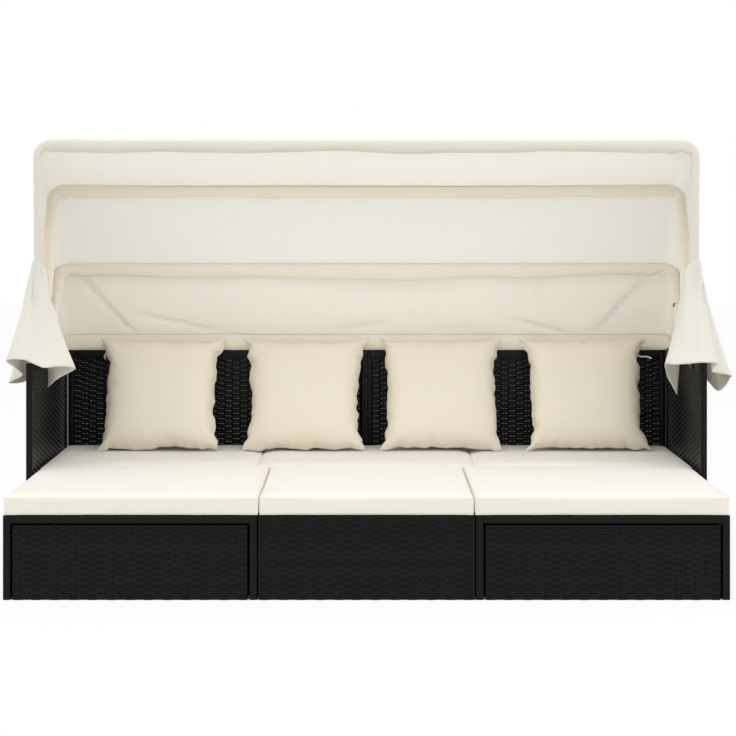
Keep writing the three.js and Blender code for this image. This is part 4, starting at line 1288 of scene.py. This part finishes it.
def make_rear_hem():
    """The rear hem: a cloth tunnel round the rail over the back."""
    span = canopy_spans()["rear"]
    # Places behind and above the rail's middle, from the outside round the bottom to the inside
    stations = (
        (0.0128, 0.0030),
        (0.0140, -0.0080),
        (0.0118, -0.0185),
        (0.0040, -0.0228),
        (-0.0085, -0.0230),
        (-0.0128, -0.0262),
        (-0.0152, -0.0180),
        (-0.0158, -0.0060),
        (-0.0135, 0.0070),
    )

    def place(u, v):
        columns = TOP_COLUMNS + 1.5 * CORNER_COLUMNS
        share = (LEG_COLUMNS + CORNER_COLUMNS / 4 + u * columns) / ALL_COLUMNS
        stitched = span.place(share, 0.026 / span.deep, -0.0008)
        x = stitched.x
        # The ends, past the rail, are drawn in
        drawn = 1 - 0.4 * max(0, (abs(x) - 0.966) / 0.031)
        ring = [span.place(share, 0.020 / span.deep, 0.0008)]
        for index, (back, up) in enumerate(stations):
            wave = noise.noise(Vector((x * 8, 3.3, index * 0.3))) + 0.6 * noise.noise(Vector((x * 38, 7.7, index * 0.2)))
            back += 0.0011 * wave * (1 if index > 4 else 0.3)
            if index > 5:
                up += 0.0010 * noise.noise(Vector((x * 30, 9.1, index)))
            ring.append(Vector((x, RAIL.y + back * drawn, RAIL.z + up * (1 if up < 0 else drawn))))
        ring.append(stitched)
        position = v * (len(ring) - 1)
        index = min(int(position), len(ring) - 2)
        return ring[index].lerp(ring[index + 1], position - index)

    wide = 2 * (span.half - span.corners[0] * (1 - 3 * math.pi / 8))
    piece = cloth_sheet("rear_hem", 180, len(stations) + 1, place, (wide, 0.1), "canopy_doubled_and_shaded_cloth")
    smooth = piece.modifiers.new("Smooth", "SUBSURF")
    smooth.levels = smooth.render_levels = 1
    apply_modifiers(piece)
    piece.data.shade_smooth()
    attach(piece, "lounge")


# Each skirt's hem, from its inner edge round the front of the arm to its outer edge: shares of the reach
# out from the arm's middle plane, of the lounge's depth from the arm's front, and of the drop below the bolt
SKIRT_HEMS = {
    "left": (
        (-0.43, 0.172, 1.07),
        (-0.85, 0.11, 0.8),
        (-1.62, 0.06, 0.43),
        (-1.2, -0.025, 0.3),
        (-0.62, -0.05, 0.33),
        (-0.2, -0.043, 0.2),
        (0.12, -0.05, 0.09),
        (0.55, -0.036, 0.08),
        (0.86, 0.005, 0.17),
        (0.6, 0.05, 0.39),
        (0.42, 0.125, 0.66),
        (0.85, 0.17, 0.86),
        (1.08, 0.23, 0.98),
        (0.7, 0.34, 1.0),
        (0.4, 0.5, 0.72),
        (0.3, 0.7, 0.46),
        (0.22, 0.87, 0.28),
    ),
    "right": (
        (-0.73, 0.188, 1.33),
        (-1.14, 0.138, 0.72),
        (-1.36, 0.071, 0.31),
        (-1.1, -0.004, 0.26),
        (-0.7, -0.037, 0.22),
        (-0.31, -0.045, 0.18),
        (0.03, -0.045, 0.17),
        (0.44, -0.029, 0.23),
        (0.36, 0.021, 0.49),
        (1.12, 0.095, 0.66),
        (1.16, 0.138, 0.78),
        (1.05, 0.171, 1.03),
        (0.83, 0.2, 1.2),
        (0.52, 0.27, 0.92),
        (0.36, 0.45, 0.72),
        (0.3, 0.7, 0.46),
        (0.22, 0.87, 0.28),
    ),
}
SIDE_TOP_SHARES = (0.405, 0.37, 0.325, 0.275, 0.2, 0.13, 0.075, 0.035)
COLLAR_PLACES = 9
SKIRT_REACH, SKIRT_DROP, SKIRT_COLLAR, SKIRT_RISE = 0.080, 0.095, 0.0145, 0.436


def smooth_line(points, share):
    """A place on a smooth line through points."""
    position = share * (len(points) - 1)
    index = min(int(position), len(points) - 2)
    t = position - index
    b, c = points[index], points[index + 1]
    a = points[index - 1] if index > 0 else b * 2 - c
    d = points[index + 2] if index + 2 < len(points) else c * 2 - b
    return 0.5 * (
        2 * b + (c - a) * t + (2 * a - 5 * b + 4 * c - d) * t * t + (3 * b - a - 3 * c + d) * t * t * t
    )


def make_skirts():
    canopy = sizes("canopy")
    front = canopy_ribs()["front"]
    arm_low, arm_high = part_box("right_arm_frame")
    arm_middle = (arm_low.x + arm_high.x) / 2
    depth = arm_high.y - arm_low.y
    rise = SKIRT_RISE * front.length
    leg_y = PIVOT.y + rise * front.x / front.y
    outside = canopy.half_width + canopy.tube + 0.0045
    turn = math.radians(200)
    for side, sign in SIDES:
        hem = [
            Vector((arm_middle + out * SKIRT_REACH, arm_low.y + along * depth, PIVOT.z - down * SKIRT_DROP))
            for out, along, down in SKIRT_HEMS[side]
        ]
        top = []
        for index in range(COLLAR_PLACES):
            angle = math.pi - turn * index / (COLLAR_PLACES - 1) + (turn - math.pi) / 2
            x = canopy.half_width + SKIRT_COLLAR * math.cos(angle)
            top.append(Vector((min(x, outside), leg_y - SKIRT_COLLAR * math.sin(angle), PIVOT.z + rise)))
        for index, share in enumerate(SIDE_TOP_SHARES):
            y = arm_low.y + SKIRT_HEMS[side][COLLAR_PLACES + index][1] * depth
            top.append(Vector((outside, max(y, leg_y + SKIRT_COLLAR), PIVOT.z + share * front.length)))
        swell = 0.016 if side == "left" else 0.024

        def place(u, v, sign=sign, top=top, hem=hem, swell=swell):
            high, low = smooth_line(top, u), smooth_line(hem, u)
            down = 1 - v
            inner = max(0, 1 - u / 0.34)
            flare = down ** (1.6 if inner > 0 else 1.6 - 0.42 * min(1, (u - 0.34) / 0.16))
            co = Vector((
                high.x + (low.x - high.x) * flare,
                high.y + (low.y - high.y) * flare,
                high.z + (low.z - high.z) * down,
            ))
            co.x -= swell * min(1, inner * 2.5) * min(1, down / 0.12) * (1 - down) ** 0.7
            grip = math.sin(math.pi * min(1, down * 1.2 + 0.05)) if down < 0.4 else 0.6 + 0.4 * (1 - down)
            flute = math.sin(u * 46 + 1.3 * sign) * 0.002
            flute += noise.noise(Vector((u * 15, v * 2.2, 4 * sign))) * 0.007
            flute += noise.noise(Vector((u * 38, v * 5.2, 9 * sign))) * 0.0022
            co.x += flute * grip
            co.y += flute * 0.6 * grip
            co.x *= sign
            return co

        piece = cloth_sheet(f"{side}_skirt_cloth", 144, 44, place, (0.9, 0.34), "canopy_skirt_shaded_cloth")
        if sign < 0:
            piece.data.flip_normals()
        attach(piece, "lounge")
        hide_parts(f"{side}_skirt")
        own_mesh(piece)


# Ties: for each, its places across, in front of the back's top band and up from the band's middle
TIES = {
    "left": ((-0.832, 0.002, 0.03), (-0.838, 0.006, 0.016), (-0.848, 0.0075, 0.004), (-0.8545, 0.006, -0.008), (-0.852, 0.0035, -0.016)),
    "right": ((0.866, 0.002, 0.028), (0.876, 0.005, 0.006), (0.891, 0.0065, -0.007), (0.907, 0.0075, -0.0075), (0.920, 0.006, -0.0095), (0.930, 0.003, -0.014)),
}


def make_ties():
    """Short cloth ties that hang from the rear hem over the back's top bands."""
    wicker = sizes("wicker")
    for side, places in TIES.items():
        low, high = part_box(f"{side}_back_frame")
        middle = Vector((0, low.y, high.z - wicker.top_band / 2))
        points = [middle + Vector((x, -front - 0.001, up)) for x, front, up in places]

        def place(u, v, points=points):
            at = smooth_line(points, u)
            ahead = smooth_line(points, min(1, u + 0.02)) - smooth_line(points, max(0, u - 0.02))
            across = Vector((-ahead.z, 0, ahead.x)).normalized()
            return at + across * (0.0028 * (2 * v - 1))

        run = sum((b - a).length for a, b in zip(points, points[1:]))
        piece = cloth_sheet(f"{side}_hem_tie", 24, 3, place, (run, 0.0056), "canopy_doubled_and_shaded_cloth")
        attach(piece, "lounge")


# Carried-over CAD nodes and the stage


def dress_frame():
    """Gives every CAD node that still shows the finish that the record names for it."""
    for part in frame["record"]["subparts"]:
        node = frame["nodes"][part["node"]]
        if not node.hide_render:
            node.data.materials.clear()
            node.data.materials.append(finish(part["material_slot"]))
            if "strand" not in node.data.uv_layers and part["material_slot"] == "wicker":
                node.data.uv_layers.new(name="strand")


def make_stage():
    stage = sizes("stage")
    foot_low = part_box("left_stool_outer_skin")[0]
    foot_high = Vector((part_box("right_stool_outer_skin")[1].x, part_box("right_arm_frame")[1].y, 0))
    bm = bmesh.new()
    bmesh.ops.create_grid(bm, x_segments=8, y_segments=8, size=14)
    mesh = bpy.data.meshes.new("studio_floor")
    bm.to_mesh(mesh)
    bm.free()
    mesh.materials.append(stage_material("studio_floor_pale", 0.1, foot_low, foot_high))
    floor = bpy.data.objects.new("studio_floor", mesh)
    bpy.context.scene.collection.objects.link(floor)

    world = bpy.data.worlds.new("studio_sky")
    bpy.context.scene.world = world
    world.use_nodes = True
    tree = world.node_tree
    tree.nodes.clear()
    rays = add_node(tree, "ShaderNodeLightPath")
    seen = add_node(tree, "ShaderNodeMath", {0: rays.outputs["Is Camera Ray"], 1: rays.outputs["Is Glossy Ray"]})
    seen = add_node(
        tree, "ShaderNodeMath", {0: seen.outputs[0], 1: rays.outputs["Is Transmission Ray"]}, use_clamp=True
    )
    lit = add_node(tree, "ShaderNodeBackground", {"Color": (*linear(0xFFFFFF), 1), "Strength": stage.sky})
    white = add_node(tree, "ShaderNodeBackground", {"Color": (1, 1, 1, 1), "Strength": 1.0})
    mixed = add_node(tree, "ShaderNodeMixShader", {0: seen.outputs[0], 1: lit.outputs[0], 2: white.outputs[0]})
    add_node(tree, "ShaderNodeOutputWorld", {"Surface": mixed.outputs[0]})

    lamps = (
        ("left_lamp", (-3.6, -0.9, 1.7), (0, 0, 0.8), 2.0, stage.side_power),
        ("right_lamp", (3.6, -0.9, 1.7), (0, 0, 0.8), 2.0, stage.side_power),
        ("overhead_lamp", (0.2, -0.95, 3.4), (0, 0.0, 0.3), 3.2, stage.key_power),
        ("front_lamp", (-1.0, -4.6, 1.9), (0, 0, 0.6), 0.5, stage.fill_power),
        ("rear_lamp", (0.6, 3.6, 2.8), (0, 0, 0.6), 3.0, stage.rear_power),
    )
    for name, place, target, size, power in lamps:
        data = bpy.data.lights.new(name, "AREA")
        data.shape = "SQUARE"
        data.size = size
        data.energy = power
        lamp = bpy.data.objects.new(name, data)
        lamp.location = place
        lamp.rotation_euler = (Vector(target) - Vector(place)).to_track_quat("-Z", "Y").to_euler()
        bpy.context.scene.collection.objects.link(lamp)

    data = bpy.data.cameras.new("camera")
    data.sensor_width = 36
    data.lens = stage.lens
    data.shift_x = 0.002
    data.shift_y = -0.212
    camera = bpy.data.objects.new("camera", data)
    camera.location = (0, -stage.distance, stage.height)
    camera.rotation_euler = (math.pi / 2, 0, 0)
    bpy.context.scene.collection.objects.link(camera)
    bpy.context.scene.camera = camera
    bpy.context.scene.view_settings.view_transform = "Standard"


# Operators, one for each group of like pieces


class DAYBED_OT_lounge_panels(bpy.types.Operator):
    """Weave the arm and back panels and wrap their bars"""

    bl_idname = "daybed.lounge_panels"
    bl_label = "Arm and back panels"

    def execute(self, context):
        make_lounge_panels()
        return {"FINISHED"}


class DAYBED_OT_seat(bpy.types.Operator):
    """Weave the seat's apron and lay its straps"""

    bl_idname = "daybed.seat"
    bl_label = "Seat"

    def execute(self, context):
        make_seat()
        return {"FINISHED"}


class DAYBED_OT_middle_stool(bpy.types.Operator):
    """Weave the plain footstool"""

    bl_idname = "daybed.middle_stool"
    bl_label = "Middle footstool"

    def execute(self, context):
        make_middle_stool()
        return {"FINISHED"}


class DAYBED_OT_side_stools(bpy.types.Operator):
    """Weave the side footstools and wrap their bars"""

    bl_idname = "daybed.side_stools"
    bl_label = "Side footstools"

    def execute(self, context):
        make_side_stools()
        return {"FINISHED"}


class DAYBED_OT_nested_stools(bpy.types.Operator):
    """Weave the small footstools"""

    bl_idname = "daybed.nested_stools"
    bl_label = "Nested footstools"

    def execute(self, context):
        make_nested_stools()
        return {"FINISHED"}


class DAYBED_OT_cushions(bpy.types.Operator):
    """Sew and fill the box cushions"""

    bl_idname = "daybed.cushions"
    bl_label = "Cushions"

    def execute(self, context):
        make_cushions()
        return {"FINISHED"}


class DAYBED_OT_pillows(bpy.types.Operator):
    """Sew and fill the throw pillows"""

    bl_idname = "daybed.pillows"
    bl_label = "Pillows"

    def execute(self, context):
        make_pillows()
        return {"FINISHED"}


class DAYBED_OT_canopy_panels(bpy.types.Operator):
    """Stretch the cloth between the hoops"""

    bl_idname = "daybed.canopy_panels"
    bl_label = "Canopy cloth"

    def execute(self, context):
        make_canopy_panels()
        return {"FINISHED"}


class DAYBED_OT_sleeves(bpy.types.Operator):
    """Sew the tunnels round the hoops"""

    bl_idname = "daybed.sleeves"
    bl_label = "Sleeves"

    def execute(self, context):
        make_sleeves()
        return {"FINISHED"}


class DAYBED_OT_rear_hem(bpy.types.Operator):
    """Sew the tunnel round the rail and its ties"""

    bl_idname = "daybed.rear_hem"
    bl_label = "Rear hem"

    def execute(self, context):
        make_rear_hem()
        make_ties()
        return {"FINISHED"}


class DAYBED_OT_skirts(bpy.types.Operator):
    """Hang the loose cloth round the arms"""

    bl_idname = "daybed.skirts"
    bl_label = "Skirts"

    def execute(self, context):
        make_skirts()
        return {"FINISHED"}


class DAYBED_OT_frame_finish(bpy.types.Operator):
    """Paint and plate the metal and plastic"""

    bl_idname = "daybed.frame_finish"
    bl_label = "Frame finish"

    def execute(self, context):
        dress_frame()
        return {"FINISHED"}


class DAYBED_OT_stage(bpy.types.Operator):
    """Lay the floor, hang the lamps and set the camera"""

    bl_idname = "daybed.stage"
    bl_label = "Stage"

    def execute(self, context):
        make_stage()
        return {"FINISHED"}


OPERATORS = (
    DAYBED_OT_lounge_panels,
    DAYBED_OT_seat,
    DAYBED_OT_middle_stool,
    DAYBED_OT_side_stools,
    DAYBED_OT_nested_stools,
    DAYBED_OT_cushions,
    DAYBED_OT_pillows,
    DAYBED_OT_canopy_panels,
    DAYBED_OT_sleeves,
    DAYBED_OT_rear_hem,
    DAYBED_OT_skirts,
    DAYBED_OT_frame_finish,
    DAYBED_OT_stage,
)


class DAYBED_PT_panel(bpy.types.Panel):
    """Sizes, colours and pieces of the daybed."""

    bl_idname = "DAYBED_PT_panel"
    bl_label = "Daybed"
    bl_space_type = "VIEW_3D"
    bl_region_type = "UI"
    bl_category = "Daybed"

    def draw(self, context):
        for group in ("wicker", "cushions", "canopy", "stage"):
            settings = getattr(context.scene, "daybed_" + group)
            column = self.layout.column(align=True)
            for name in settings.__annotations__:
                column.prop(settings, name)
        for maker in OPERATORS:
            self.layout.operator(maker.bl_idname)


GROUPS = {"wicker": DaybedWicker, "cushions": DaybedCushions, "canopy": DaybedCanopy, "stage": DaybedStage}


def register():
    for group, settings in GROUPS.items():
        bpy.utils.register_class(settings)
        setattr(bpy.types.Scene, "daybed_" + group, bpy.props.PointerProperty(type=settings))
    for maker in OPERATORS:
        bpy.utils.register_class(maker)
    bpy.utils.register_class(DAYBED_PT_panel)


def unregister():
    bpy.utils.unregister_class(DAYBED_PT_panel)
    for maker in reversed(OPERATORS):
        bpy.utils.unregister_class(maker)
    for group, settings in GROUPS.items():
        delattr(bpy.types.Scene, "daybed_" + group)
        bpy.utils.unregister_class(settings)


def main():
    register()
    for maker in OPERATORS:
        category, name = maker.bl_idname.split(".")
        getattr(getattr(bpy.ops, category), name)()


if __name__ == "__main__":
    main()
